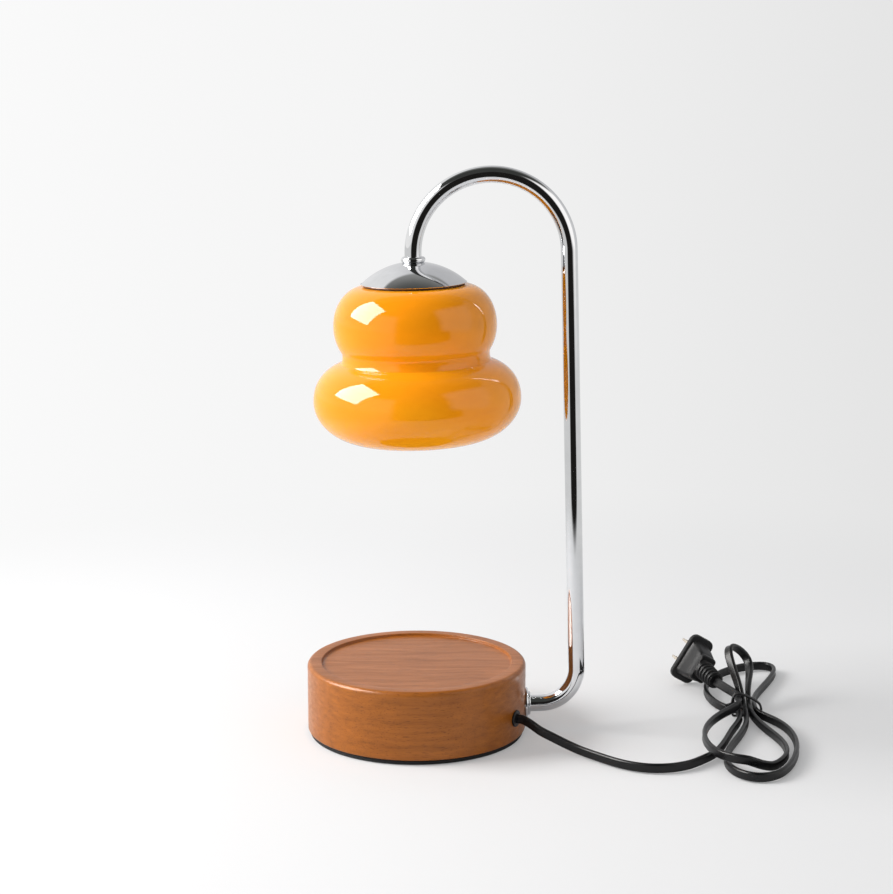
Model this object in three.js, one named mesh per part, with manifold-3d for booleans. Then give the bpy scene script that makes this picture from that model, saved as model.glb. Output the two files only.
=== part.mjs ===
// Candle warmer lamp: a turned wooden base, a bent chromed arm and a two-tier glass shade that
// hangs over a candle and holds a twist-lock reflector bulb. Millimetres, +Z up, with the origin
// at the middle of the face that the base stands on. The arm rises on the +X side.
import * as THREE from "three";
import { mergeVertices } from "three/addons/utils/BufferGeometryUtils.js";
import Module from "manifold-3d";

const wasm = await Module();
wasm.setup();

// Clearances: between neighbours, and how far a cutter runs past the face that it cuts.
const gap = 0.3;
const overrun = 2;

// Base: a wooden drum with a dished top and a hollow underside.
const baseRadius = 65;
const baseTop = 43.2;
const baseTopRound = 2.6;
const baseFootRound = 1;
const dishRadius = 56;
const dishDepth = 1.6;
const dishFlare = 0.3;
const wallThickness = 15;
const ceilingThickness = 13;
const padThickness = 2.4;
const padInset = 1.4;

// Cover plate under the hollow, and the iron weight bolted to it.
const coverThickness = 2;
const coverSeat = 10;
const coverScrewLength = 14;
const coverScrewRadius = 1.5;
const coverScrewHeadRadius = 3;
const coverScrewHeadHeight = 1.4;
const coverScrewCount = 4;
const coverScrewAngle = 45;
const ballastRoom = 4.6;
const ballastThickness = 8;
const ballastBoltRadius = 2.5;
const ballastBoltHeadRadius = 4.6;
const ballastBoltHeadHeight = 1.5;

// Arm: one chromed tube, level out of the base, up with a slight lean and over in a half circle.
const tubeRadius = 4.9;
const tubeBore = 3.8;
const armHeight = 16.3;
const armLean = 1.6;
const armLevelEnd = 73.8;
const armBendRadius = 21.5;
const armLegLength = 249;
const hookRadius = 44.9;
const hookDrop = 16.2;
const armThreadInside = 10.4;
const armBendSteps = 7;
const hookSteps = 18;
const flangeRadius = 9.5;
const flangeThickness = 3.3;
const flangeRound = 1;
const flangeSeatDepth = 0.6;
const washerRadius = 8.6;
const washerThickness = 1.5;
const nutAcrossFlats = 14;
const nutThickness = 4.5;

// Wiring in the base and the arm.
const cableRadius = 2.1;
const blockLength = 22;
const blockWidth = 13;
const blockHeight = 9;
const blockPlaceX = 14;
const blockScrewRadius = 1.4;
const blockScrewHeadRadius = 2.7;
const blockScrewHeadHeight = 1.6;
const blockScrewBite = 7;

// Cord: a flat two-core lead that stands on its narrow edge, and the bush that it leaves by.
const cordWidth = 5.6;
const cordThickness = 2.9;
const cordAngle = -26.5;
const cordLie = 3.1;
const bushFlangeRadius = 4.9;
const bushFlangeThickness = 0.9;
const bushBarrelRadius = 4.2;
const stopLength = 7;
const stopWidth = 12;
const stopHeight = 10;
const leadEaseShare = 1 / 3;

// Head, measured along its own axis from the plane of the cap's rim.
const capRadius = 30.8;
const capHeight = 12.4;
const capSheet = 1;
const capRimRadius = 0.7;
const collarRadius = 7.1;
const collarHeight = 3.3;
const collarArcAngle = 60;
const collarArcSteps = 4;
const lockNutThickness = 3.5;
const tubeTip = 1.2;
const holderRadius = 19;
const holderWall = 1.8;
const holderTop = 4.4;
const holderBossRadius = 8;
const holderShoulder = 1.6;
const sleeveTop = -2.2;
const sleeveBottom = -24;
const sleeveLip = 1.6;
const coreRadius = 16.6;
const coreHeight = 14;

// Shade: cased glass, two bulging tiers, open at the neck and at the bottom.
const glassWall = 3;
const neckRadius = 20;
const neckTop = -1.2;
const upperRadius = 47.4;
const upperBelly = 18.2;
const upperMiddle = -24.2;
const upperHalfHeight = 23;
const lowerRadius = 60.5;
const lowerBelly = 30.3;
const lowerMiddle = -67.7;
const lowerHalfHeight = 24.3;
const upperSwell = 0.99;
const lowerSwell = 0.9;
const lowerFootSwell = 1.02;
const waistRadius = 42.8;
const waistAngles = [-40, 66];
const mouthAngle = -76;
const mouthLip = 0.6;
const gasketInner = 26.4;
const gasketOuter = 29.4;
const gasketThickness = 0.6;
const ringOuter = 25;
const ringHeight = 8;
const ringFlutes = 18;
const ringFluteDepth = 0.9;
const ringBandShare = 0.25;

// Bulb: a twist-lock reflector lamp with two studs.
const studSpacing = 10;
const studRadius = 1.6;
const studHeadRadius = 2.5;
const studLength = 7;
const studHeadHeight = 2.6;
const studClearance = 0.4;
const twistAngle = 20;
const corePlate = 3.4;
const contactThickness = 0.6;
const contactWidth = 3.4;
const bulbBaseRadius = 14.2;
const bulbBaseHeight = 14;
const bulbBaseFootShare = 0.8;
const bulbRadius = 25;
const bulbLength = 51;
const bulbWall = 1.3;
const bowlNeckShare = 0.72;
const bowlCurveShare = 0.62;
const bulbRimHeight = 3;
const lensThickness = 1.8;
const capsuleRadius = 4.5;
const capsuleLength = 17;

// Hank: the lead goes five times through a tie. Two lobes lie in front of it and two behind.
const tieX = 201.5;
const tieY = 22.5;
const tieHalf = 4;
const tieBand = 1;
const tieBandWidth = 3;
const tieTwistRadius = 1.1;
const tieTwistLength = 9;
const strandPitch = cordThickness + 0.5;
const tieLie = 4.4;
const crossRise = 6.6;
const lobeSteps = 24;
const settleShare = 0.15;
const turnShare = 0.3;
const cordFreeSteps = 36;
const climbShare = 0.12;
const loopGapWanted = 0.4;

// Plug: flat two-blade plug, tipped on the corner of its face plate behind the tie.
const plugReliefLength = 19;
const plugReliefRadius = 5.8;
const plugReliefTaper = 0.9;
const plugRibCount = 5;
const plugRibDepth = 0.8;
const plugStepLength = 4;
const plugStepWidth = 17.5;
const plugStepHeight = 11.5;
const plugBodyLength = 13;
const plugBodyWidth = 24;
const plugBodyHeight = 13;
const plugPlateLength = 3.6;
const plugPlateWidth = 31.4;
const plugPlateHeight = 17.4;
const plugPlateCorner = 4.6;
const plugX = 186.2;
const plugY = 54;
const plugZ = 12.9;
const plugHeading = 107;
const plugRise = 5.5;
const plugRoll = 121;
const bladeSpacing = 12.7;
const bladeWidth = 6.3;
const bladeThickness = 1.5;
const bladeLength = 17;
const bladeRoot = 8;
const bladeHoleRadius = 1.6;
const bladeHoleInset = 4.2;

// Fineness of the round shapes.
const fineSides = 44;
const roundSides = 28;
const smallSides = 14;
const arcSteps = 4;

const degrees = Math.PI / 180;
const lean = armLean * degrees;
const material = (color, roughness, metalness) => ({ color, roughness, metalness });
const finishes = {
  wood: material(0x9c5a38, 0.45, 0),
  iron: material(0x55585c, 0.6, 0.9),
  zinc: material(0xaeb2b5, 0.35, 1),
  chrome: material(0xd6d8da, 0.06, 1),
  pad: material(0x17181a, 0.9, 0),
  blackPlastic: material(0x1a1b1d, 0.5, 0),
  whitePlastic: material(0xe6e4dc, 0.5, 0),
  ceramic: material(0xf0ede4, 0.35, 0),
  brass: material(0xc9a45a, 0.3, 1),
  lead: material(0x1b1c1e, 0.45, 0),
  silicone: material(0xe9e6de, 0.6, 0),
  amberGlass: material(0xf28c0c, 0.08, 0),
  reflector: material(0xd8dade, 0.12, 1),
  clearGlass: material(0xe8eef0, 0.1, 0),
};

// A closed geometry as a solid that can be cut, and back.
function solidOf(geometry) {
  const bare = new THREE.BufferGeometry();
  bare.setAttribute("position", geometry.getAttribute("position"));
  if (geometry.index) bare.setIndex(geometry.index);
  const merged = mergeVertices(bare, 1e-4);
  return new wasm.Manifold(
    new wasm.Mesh({
      numProp: 3,
      vertProperties: merged.attributes.position.array,
      triVerts: new Uint32Array(merged.index.array),
    }),
  );
}

function geometryOf(solid) {
  const mesh = solid.getMesh();
  const geometry = new THREE.BufferGeometry();
  geometry.setAttribute("position", new THREE.BufferAttribute(mesh.vertProperties, 3));
  geometry.setIndex(new THREE.BufferAttribute(mesh.triVerts, 1));
  return geometry;
}

function cut(geometry, ...tools) {
  return geometryOf(tools.reduce((solid, tool) => solid.subtract(solidOf(tool)), solidOf(geometry)));
}

function join(first, ...rest) {
  return geometryOf(rest.reduce((solid, other) => solid.add(solidOf(other)), solidOf(first)));
}

// A closed profile of [radius, height] points, turned about Z.
function turned(profile, sides = roundSides) {
  const points = profile.map(([radius, height]) => new THREE.Vector2(radius, height));
  return new THREE.LatheGeometry(points, sides).rotateX(Math.PI / 2);
}

function drum(radius, low, high, sides = roundSides) {
  return turned([[0, low], [radius, low], [radius, high], [0, high]], sides);
}

function washer(inner, outer, low, high, sides = roundSides) {
  return turned([[inner, low], [outer, low], [outer, high], [inner, high], [inner, low]], sides);
}

// An upright prism on an outline in X and Y.
function prism(outline, low, high) {
  const options = { depth: high - low, bevelEnabled: false, curveSegments: arcSteps };
  return new THREE.ExtrudeGeometry(outline, options).translate(0, 0, low);
}

function block(sizeX, sizeY, sizeZ) {
  return new THREE.BoxGeometry(sizeX, sizeY, sizeZ);
}

// A polygon with a flat side facing +Y, its distance across flats given.
function hexagon(acrossFlats) {
  const corner = acrossFlats / Math.sqrt(3);
  const points = [0, 1, 2, 3, 4, 5].map(
    (i) => new THREE.Vector2(corner * Math.cos(i * 60 * degrees), corner * Math.sin(i * 60 * degrees)),
  );
  return new THREE.Shape(points);
}

function roundedBox(width, height, corner) {
  const x = width / 2;
  const y = height / 2;
  const shape = new THREE.Shape();
  shape.moveTo(-x + corner, -y);
  shape.lineTo(x - corner, -y);
  shape.absarc(x - corner, -y + corner, corner, -Math.PI / 2, 0, false);
  shape.lineTo(x, y - corner);
  shape.absarc(x - corner, y - corner, corner, 0, Math.PI / 2, false);
  shape.lineTo(-x + corner, y);
  shape.absarc(-x + corner, y - corner, corner, Math.PI / 2, Math.PI, false);
  shape.lineTo(-x, -y + corner);
  shape.absarc(-x + corner, -y + corner, corner, Math.PI, 1.5 * Math.PI, false);
  return shape;
}

// Points of an arc in a profile, from one angle to another.
function arc(centreR, centreZ, radius, from, to, steps = arcSteps) {
  const points = [];
  for (let i = 0; i <= steps; i += 1) {
    const angle = (from + ((to - from) * i) / steps) * degrees;
    points.push([centreR + radius * Math.cos(angle), centreZ + radius * Math.sin(angle)]);
  }
  return points;
}

// A path through its own stations. The section's width lies along the wide direction there.
class StationPath extends THREE.Curve {
  constructor(stations) {
    super();
    this.stations = stations;
  }

  getSpacedPoints() {
    return this.stations.map(({ point }) => point);
  }

  computeFrenetFrames() {
    const frames = { tangents: [], normals: [], binormals: [] };
    this.stations.forEach(({ tangent, wide }) => {
      const normal = wide.clone().addScaledVector(tangent, -wide.dot(tangent)).normalize();
      frames.tangents.push(tangent);
      frames.normals.push(normal);
      frames.binormals.push(tangent.clone().cross(normal));
    });
    return frames;
  }
}

// Stations from points: tangents run between neighbours, or as given at the two ends.
function stationsOf(points, wides, firstTangent, lastTangent) {
  const last = points.length - 1;
  return points.map((point, i) => {
    const ahead = points[Math.min(i + 1, last)].clone().sub(point);
    const behind = point.clone().sub(points[Math.max(i - 1, 0)]);
    let tangent = ahead.clone().normalize().add(behind.clone().normalize()).normalize();
    if (i === 0 && firstTangent) tangent = firstTangent.clone().normalize();
    if (i === last && lastTangent) tangent = lastTangent.clone().normalize();
    return { point, tangent, wide: Array.isArray(wides) ? wides[i] : wides };
  });
}

function swept(section, stations) {
  const options = {
    steps: stations.length - 1,
    bevelEnabled: false,
    extrudePath: new StationPath(stations),
  };
  return new THREE.ExtrudeGeometry(section, options);
}

function circle(radius, sides) {
  const points = [];
  for (let i = 0; i < sides; i += 1) {
    const angle = (2 * Math.PI * i) / sides;
    points.push(new THREE.Vector2(radius * Math.cos(angle), radius * Math.sin(angle)));
  }
  return points;
}

// The flat lead's section, wide along its first axis, with six sides or eight.
const leadCheek = (cordWidth - cordThickness) / 2;
function leadSection(sides) {
  const half = cordThickness / 2;
  const bevel = half * Math.SQRT1_2;
  const sixSided = [
    [cordWidth / 2, 0], [leadCheek, half], [-leadCheek, half],
    [-cordWidth / 2, 0], [-leadCheek, -half], [leadCheek, -half],
  ];
  const eightSided = [
    [cordWidth / 2, -bevel / 2], [cordWidth / 2, bevel / 2], [leadCheek, half], [-leadCheek, half],
    [-cordWidth / 2, bevel / 2], [-cordWidth / 2, -bevel / 2], [-leadCheek, -half], [leadCheek, -half],
  ];
  const corners = sides === 6 ? sixSided : eightSided;
  return new THREE.Shape(corners.map(([x, y]) => new THREE.Vector2(x, y)));
}

const object = new THREE.Group();
const head = new THREE.Group();
const plug = new THREE.Group();
object.add(head, plug);

function add(parent, name, geometry, finish) {
  const mesh = new THREE.Mesh(geometry, new THREE.MeshStandardMaterial(finishes[finish]));
  mesh.name = name;
  parent.add(mesh);
  return mesh;
}

// Heights and radii in the base that several pieces share.
const woodFoot = padThickness + gap;
const dishFloor = baseTop - dishDepth;
const hollowTop = dishFloor - ceilingThickness;
const hollowRadius = baseRadius - wallThickness;
const coverRadius = hollowRadius + coverSeat;
const coverTop = woodFoot + coverThickness;
const hollowFoot = coverTop + gap;
const coverScrewCircle = (hollowRadius + coverRadius) / 2;
const flangeSeat = baseRadius - flangeSeatDepth;
const washerSeat = hollowRadius + gap / 2;
const cordDirection = new THREE.Vector3(Math.cos(cordAngle * degrees), Math.sin(cordAngle * degrees), 0);

// A round bar along X, or along the lead's way out, used as a cutter or a plain piece.
function barAlongX(radius, from, to, height, sides = smallSides) {
  return drum(radius, from, to, sides).rotateY(Math.PI / 2).translate(0, 0, height);
}

function alongLead(geometry) {
  return geometry.rotateZ(cordAngle * degrees);
}

function coverScrewPlace(i) {
  const angle = (coverScrewAngle + (360 / coverScrewCount) * i) * degrees;
  return [coverScrewCircle * Math.cos(angle), coverScrewCircle * Math.sin(angle)];
}

// A countersunk screw or its hole, pointing up from the foot of the cover plate.
function countersunk(radius, headRadius, headHeight, foot, tip, room) {
  return turned([
    [0, foot], [headRadius + room, foot], [radius + room, foot + headHeight],
    [radius + room, tip], [0, tip],
  ], smallSides);
}

function makeBase() {
  const body = turned([
    [0, hollowTop], [hollowRadius, hollowTop], [hollowRadius, hollowFoot],
    [coverRadius + gap, hollowFoot], [coverRadius + gap, woodFoot],
    ...arc(baseRadius - baseFootRound, woodFoot + baseFootRound, baseFootRound, -90, 0, 3),
    ...arc(baseRadius - baseTopRound, baseTop - baseTopRound, baseTopRound, 0, 90),
    [dishRadius + dishFlare, baseTop], [dishRadius, dishFloor], [0, dishFloor],
  ], fineSides);
  const holes = [
    barAlongX(tubeRadius + gap, hollowRadius - overrun, baseRadius + overrun, armHeight),
    barAlongX(flangeRadius + gap, flangeSeat, baseRadius + overrun, armHeight, roundSides),
    barAlongX(washerRadius + gap, hollowRadius - overrun, washerSeat, armHeight, roundSides),
    alongLead(barAlongX(bushBarrelRadius + gap, hollowRadius - overrun, baseRadius + overrun, armHeight)),
    countersunk(blockScrewRadius, 0, 0, hollowTop - overrun, hollowTop + blockScrewBite + gap, gap)
      .translate(blockPlaceX, 0, 0),
  ];
  for (let i = 0; i < coverScrewCount; i += 1) {
    const hole = drum(coverScrewRadius + gap, woodFoot, woodFoot + coverScrewLength + gap, smallSides);
    holes.push(hole.translate(...coverScrewPlace(i), 0));
  }
  add(object, "base_body", cut(body, ...holes), "wood");

  const cover = drum(coverRadius, woodFoot, coverTop, roundSides);
  const coverHoles = [];
  for (let i = 0; i < coverScrewCount; i += 1) {
    const hole = countersunk(coverScrewRadius, coverScrewHeadRadius, coverScrewHeadHeight,
      woodFoot, coverTop, gap);
    coverHoles.push(hole.translate(...coverScrewPlace(i), 0));
    const screw = countersunk(coverScrewRadius, coverScrewHeadRadius, coverScrewHeadHeight,
      woodFoot, woodFoot + coverScrewLength, 0);
    add(object, `cover_screw_${i + 1}`, screw.translate(...coverScrewPlace(i), 0), "zinc");
  }
  coverHoles.push(countersunk(ballastBoltRadius, ballastBoltHeadRadius, ballastBoltHeadHeight,
    woodFoot, coverTop, gap));
  add(object, "base_cover_plate", cut(cover, ...coverHoles), "zinc");

  const ballastTop = hollowFoot + ballastThickness;
  const boltTip = ballastTop - gap;
  add(object, "base_ballast", washer(ballastBoltRadius + gap, ballastRadius, hollowFoot, ballastTop), "iron");
  add(object, "ballast_bolt", countersunk(ballastBoltRadius, ballastBoltHeadRadius,
    ballastBoltHeadHeight, woodFoot, boltTip, 0), "zinc");
  add(object, "base_pad", drum(baseRadius - padInset, 0, padThickness, fineSides), "pad");
}

// The arm's middle line: level, a bend, the leaning leg, the hook and the drop into the head.
const up = new THREE.Vector3(-Math.sin(lean), 0, Math.cos(lean));
const armInside = hollowRadius - armThreadInside;
const ballastRadius = armInside - ballastRoom;
const bendCentre = new THREE.Vector3(armLevelEnd, 0, armHeight + armBendRadius);
const legFoot = bendCentre.clone().add(
  new THREE.Vector3(armBendRadius * Math.cos(lean), 0, armBendRadius * Math.sin(lean)),
);
const legTop = legFoot.clone().addScaledVector(up, armLegLength);
const across = new THREE.Vector3(Math.cos(lean), 0, Math.sin(lean));
const hookCentre = legTop.clone().addScaledVector(across, -hookRadius);
const hookEnd = hookCentre.clone().addScaledVector(across, -hookRadius);
head.position.copy(hookEnd).addScaledVector(up, -hookDrop);
head.rotation.y = -lean;

// How high the cap's dome stands at a radius, outside its sheet or below it.
const capSphere = (capRadius * capRadius + capHeight * capHeight) / (2 * capHeight);
function capSurface(radius, below = 0) {
  const sphere = capSphere - below;
  return capHeight - capSphere + Math.sqrt(sphere * sphere - radius * radius);
}

function armPoints(insideEnd, tip) {
  const points = [new THREE.Vector3(insideEnd, 0, armHeight)];
  const bendAngle = Math.PI / 2 + lean;
  for (let i = 0; i <= armBendSteps; i += 1) {
    const angle = -Math.PI / 2 + (bendAngle * i) / armBendSteps;
    points.push(bendCentre.clone().add(
      new THREE.Vector3(armBendRadius * Math.cos(angle), 0, armBendRadius * Math.sin(angle)),
    ));
  }
  for (let i = 0; i <= hookSteps; i += 1) {
    const angle = lean + (Math.PI * i) / hookSteps;
    points.push(hookCentre.clone().add(
      new THREE.Vector3(hookRadius * Math.cos(angle), 0, hookRadius * Math.sin(angle)),
    ));
  }
  points.push(head.position.clone().addScaledVector(up, tip));
  return points;
}

function makeArm() {
  const side = new THREE.Vector3(0, 1, 0);
  const level = new THREE.Vector3(1, 0, 0);
  const down = up.clone().negate();
  const section = new THREE.Shape(circle(tubeRadius, 16));
  section.holes.push(new THREE.Path(circle(tubeBore, 10)));
  const tube = swept(section, stationsOf(armPoints(armInside, tubeTip), side, level, down));
  add(object, "arm_tube", tube, "chrome");

  const flangeFoot = flangeSeat + gap;
  const flangeTop = flangeFoot + flangeThickness;
  const flange = turned([
    [tubeRadius + gap, flangeFoot], [flangeRadius, flangeFoot],
    ...arc(flangeRadius - flangeRound, flangeTop - flangeRound, flangeRound, 0, 90, 3),
    [tubeRadius + gap, flangeTop], [tubeRadius + gap, flangeFoot],
  ]);
  add(object, "arm_flange", flange.rotateY(Math.PI / 2).translate(0, 0, armHeight), "chrome");

  const washerTop = washerSeat - gap;
  const plate = washer(tubeRadius + gap, washerRadius, washerTop - washerThickness, washerTop);
  add(object, "arm_washer", plate.rotateY(Math.PI / 2).translate(0, 0, armHeight), "zinc");
  const nutTop = washerTop - washerThickness - gap;
  const nut = cut(prism(hexagon(nutAcrossFlats), nutTop - nutThickness, nutTop),
    drum(tubeRadius + gap, nutTop - nutThickness - overrun, nutTop + overrun, smallSides));
  add(object, "arm_nut", nut.rotateY(Math.PI / 2).translate(0, 0, armHeight), "zinc");
}

// The terminal block under the wooden ceiling, and the leads that meet it.
const blockTop = hollowTop - gap;
const blockMiddle = blockTop - blockHeight / 2;
const leadInside = blockPlaceX + blockLength / 2 + gap;

function makeWiring() {
  const body = block(blockLength, blockWidth, blockHeight).translate(blockPlaceX, 0, blockMiddle);
  const hole = drum(blockScrewRadius + gap, blockTop - blockHeight - overrun, blockTop + overrun, smallSides);
  add(object, "terminal_block", cut(body, hole.translate(blockPlaceX, 0, 0)), "whitePlastic");
  const headFoot = blockTop - blockHeight - gap - blockScrewHeadHeight;
  const screw = turned([
    [0, headFoot], [blockScrewHeadRadius, headFoot],
    [blockScrewHeadRadius, headFoot + blockScrewHeadHeight],
    [blockScrewRadius, headFoot + blockScrewHeadHeight],
    [blockScrewRadius, hollowTop + blockScrewBite], [0, hollowTop + blockScrewBite],
  ], smallSides);
  add(object, "terminal_screw", screw.translate(blockPlaceX, 0, 0), "zinc");

  // The arm's cable leaves the block at its upper half and runs through the tube to the holder.
  const side = new THREE.Vector3(0, 1, 0);
  const cableStart = new THREE.Vector3(leadInside, 0, blockMiddle);
  const cableEase = new THREE.Vector3((leadInside + armInside) / 2, 0, (blockMiddle + armHeight) / 2);
  const route = [cableStart, cableEase, ...armPoints(armInside, tubeTip - gap)];
  const cable = swept(new THREE.Shape(circle(cableRadius, 8)),
    stationsOf(route, side, new THREE.Vector3(1, 0, 0), up.clone().negate()));
  add(object, "arm_cable", cable, "lead");

  // The lead comes in through its bush, past a stop that takes the pull.
  const upright = new THREE.Vector3(0, 0, 1);
  const atRadius = (radius) => cordDirection.clone().multiplyScalar(radius).setZ(armHeight);
  const bushFace = baseRadius + gap + bushFlangeThickness;
  const leadEnd = new THREE.Vector3(leadInside, -blockWidth / 4 - cableRadius - gap, blockMiddle);
  const leadRoute = [
    atRadius(bushFace), atRadius(hollowRadius), atRadius(hollowRadius - stopLength - gap),
    leadEnd.clone().lerp(atRadius(hollowRadius - stopLength), leadEaseShare), leadEnd,
  ];
  const lead = swept(leadSection(8), stationsOf(leadRoute, upright,
    cordDirection.clone().negate(), new THREE.Vector3(-1, 0, 0)));
  add(object, "cord_lead_in", lead, "lead");

  const slot = () => block(baseRadius, cordThickness + 2 * gap, cordWidth + 2 * gap)
    .translate(baseRadius, 0, armHeight);
  const barrel = turned([
    [0, hollowRadius + gap], [bushBarrelRadius, hollowRadius + gap],
    [bushBarrelRadius, baseRadius + gap], [bushFlangeRadius, baseRadius + gap],
    [bushFlangeRadius, bushFace - gap], [bushFlangeRadius - gap, bushFace], [0, bushFace],
  ], smallSides).rotateY(Math.PI / 2).translate(0, 0, armHeight);
  add(object, "cord_bush", alongLead(cut(barrel, slot())), "blackPlastic");

  const stopFace = Math.sqrt(hollowRadius ** 2 - (stopWidth / 2) ** 2) - gap;
  const stop = block(stopLength, stopWidth, stopHeight)
    .translate(stopFace - stopLength / 2, 0, armHeight);
  add(object, "cord_stop", alongLead(cut(stop, slot().translate(-baseRadius / 2, 0, 0))), "blackPlastic");
}

function makeHead() {
  const collarFoot = capSurface(collarRadius) + gap;
  const collar = turned([
    [tubeRadius + gap, collarFoot], [collarRadius - gap, collarFoot],
    ...arc(collarRadius - collarHeight / 2, collarFoot + collarHeight / 2, collarHeight / 2,
      -collarArcAngle, collarArcAngle, collarArcSteps),
    [tubeRadius + gap, collarFoot + collarHeight], [tubeRadius + gap, collarFoot],
  ], smallSides);
  add(head, "cap_collar", collar, "chrome");

  const domeSteps = 5;
  const outside = [];
  const inside = [];
  const innerRadius = capRadius - capSheet;
  const holeRadius = tubeRadius + gap;
  for (let i = 0; i <= domeSteps; i += 1) {
    const outerR = capRadius + ((holeRadius - capRadius) * i) / domeSteps;
    const innerR = holeRadius + ((innerRadius - holeRadius) * i) / domeSteps;
    outside.push([outerR, capSurface(outerR)]);
    inside.push([innerR, Math.max(capSurface(innerR, capSheet), 0)]);
  }
  const rim = [[innerRadius, 0], [capRadius - capRimRadius, 0], [capRadius, capRimRadius / 2]];
  const dome = turned([...rim, ...outside.slice(1), ...inside], fineSides);
  add(head, "shade_cap", dome, "chrome");

  const nutCorner = nutAcrossFlats / Math.sqrt(3);
  const nutTop = capSurface(nutCorner, capSheet) - gap;
  const nutFoot = nutTop - lockNutThickness;
  const nut = cut(prism(hexagon(nutAcrossFlats), nutFoot, nutTop),
    drum(tubeRadius + gap, nutFoot - overrun, nutTop + overrun, smallSides));
  add(head, "cap_lock_nut", nut, "zinc");

  // Holder: a screwed-on top and a threaded sleeve with a ceramic core on its lip.
  const bore = tubeRadius + gap;
  const holderCap = turned([
    [bore, holderTop - holderWall - holderShoulder], [holderRadius - holderWall, sleeveTop + holderWall],
    [holderRadius - holderWall, sleeveTop + gap], [holderRadius, sleeveTop + gap],
    [holderRadius, sleeveTop + 2 * holderWall], [holderRadius - holderWall, holderTop - holderShoulder],
    [holderBossRadius, holderTop - holderShoulder], [holderBossRadius, holderTop],
    [bore, holderTop], [bore, holderTop - holderWall - holderShoulder],
  ]);
  add(head, "holder_cap", holderCap, "blackPlastic");
  const lipRadius = coreRadius - sleeveLip;
  const lipTop = sleeveBottom + holderWall;
  const sleeve = turned([
    [lipRadius, sleeveBottom], [holderRadius, sleeveBottom], [holderRadius, sleeveTop],
    [coreRadius + gap, sleeveTop], [coreRadius + gap, lipTop], [lipRadius, lipTop],
    [lipRadius, sleeveBottom],
  ]);
  add(head, "holder_sleeve", sleeve, "blackPlastic");

  const coreFoot = lipTop + gap;
  const coreTop = coreFoot + coreHeight;
  add(head, "socket_core", makeCore(coreFoot, coreTop), "ceramic");
  [-1, 1].forEach((side, i) => {
    const roof = coreFoot + studLength + 2 * studClearance - gap;
    const contact = block(contactWidth, contactWidth, contactThickness)
      .translate(side * (studSpacing / 2), 0, roof + contactThickness);
    add(head, `socket_contact_${i + 1}`, contact, "brass");
  });
  return coreFoot;
}

// The ceramic core: an arc for each stud's head, a narrower one for its neck, a hole to enter by.
function makeCore(foot, top) {
  const core = drum(coreRadius, foot, top);
  const arcOutline = (halfWidth) => {
    const middle = studSpacing / 2;
    const shape = new THREE.Shape();
    const sweep = twistAngle * degrees;
    shape.absarc(0, 0, middle + halfWidth, 0, sweep, false);
    const endX = middle * Math.cos(sweep);
    const endY = middle * Math.sin(sweep);
    shape.absarc(endX, endY, halfWidth, sweep, sweep + Math.PI, false);
    shape.absarc(0, 0, middle - halfWidth, sweep, 0, true);
    shape.absarc(middle, 0, halfWidth, Math.PI, 2 * Math.PI, false);
    return shape;
  };
  const roof = foot + studLength + 2 * studClearance;
  const roomFoot = foot + corePlate;
  const enter = studHeadRadius + studClearance;
  const tools = [];
  [0, Math.PI].forEach((turn) => {
    const way = -twistAngle * degrees;
    const room = prism(arcOutline(enter), roomFoot, roof).rotateZ(turn + way);
    const neck = prism(arcOutline(studRadius + studClearance), foot - overrun, roof).rotateZ(turn + way);
    const hole = drum(enter, foot - overrun, roof, smallSides).translate(studSpacing / 2, 0, 0);
    const pocket = block(contactWidth + 2 * gap, contactWidth + 2 * gap, contactThickness + 2 * gap)
      .translate(studSpacing / 2, 0, roof - gap + contactThickness);
    tools.push(room, neck, hole.rotateZ(turn + way), pocket.rotateZ(turn));
  });
  return cut(core, ...tools);
}

// The shade's two tiers as stretched quarter waves, outside or moved in by the wall.
function tierPoint(radius, belly, middle, halfHeight, swell, angle, inset) {
  const shape = (value) => Math.sign(value) * Math.abs(value) ** swell;
  const r = radius - belly + (belly - inset) * shape(Math.cos(angle * degrees));
  const z = middle + (halfHeight - inset) * shape(Math.sin(angle * degrees));
  return [r, z];
}

function shadeLine(inset) {
  const upperSteps = 7;
  const lowerSteps = 10;
  const upperTier = (angle) =>
    tierPoint(upperRadius, upperBelly, upperMiddle, upperHalfHeight, upperSwell, angle, inset);
  const lowerTier = (angle) => {
    const swell = angle < 0 ? lowerFootSwell : lowerSwell;
    return tierPoint(lowerRadius, lowerBelly, lowerMiddle, lowerHalfHeight, swell, angle, inset);
  };
  const [waistAbove, waistBelow] = waistAngles;
  const points = [];
  for (let i = 0; i <= upperSteps; i += 1) {
    points.push(upperTier(90 + ((waistAbove - 90) * i) / upperSteps));
  }
  const waistMiddle = (upperTier(waistAbove)[1] + lowerTier(waistBelow)[1]) / 2;
  points.push([waistRadius - inset, waistMiddle]);
  for (let i = 0; i <= lowerSteps; i += 1) {
    points.push(lowerTier(waistBelow + ((mouthAngle - waistBelow) * i) / lowerSteps));
  }
  return points;
}

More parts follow.
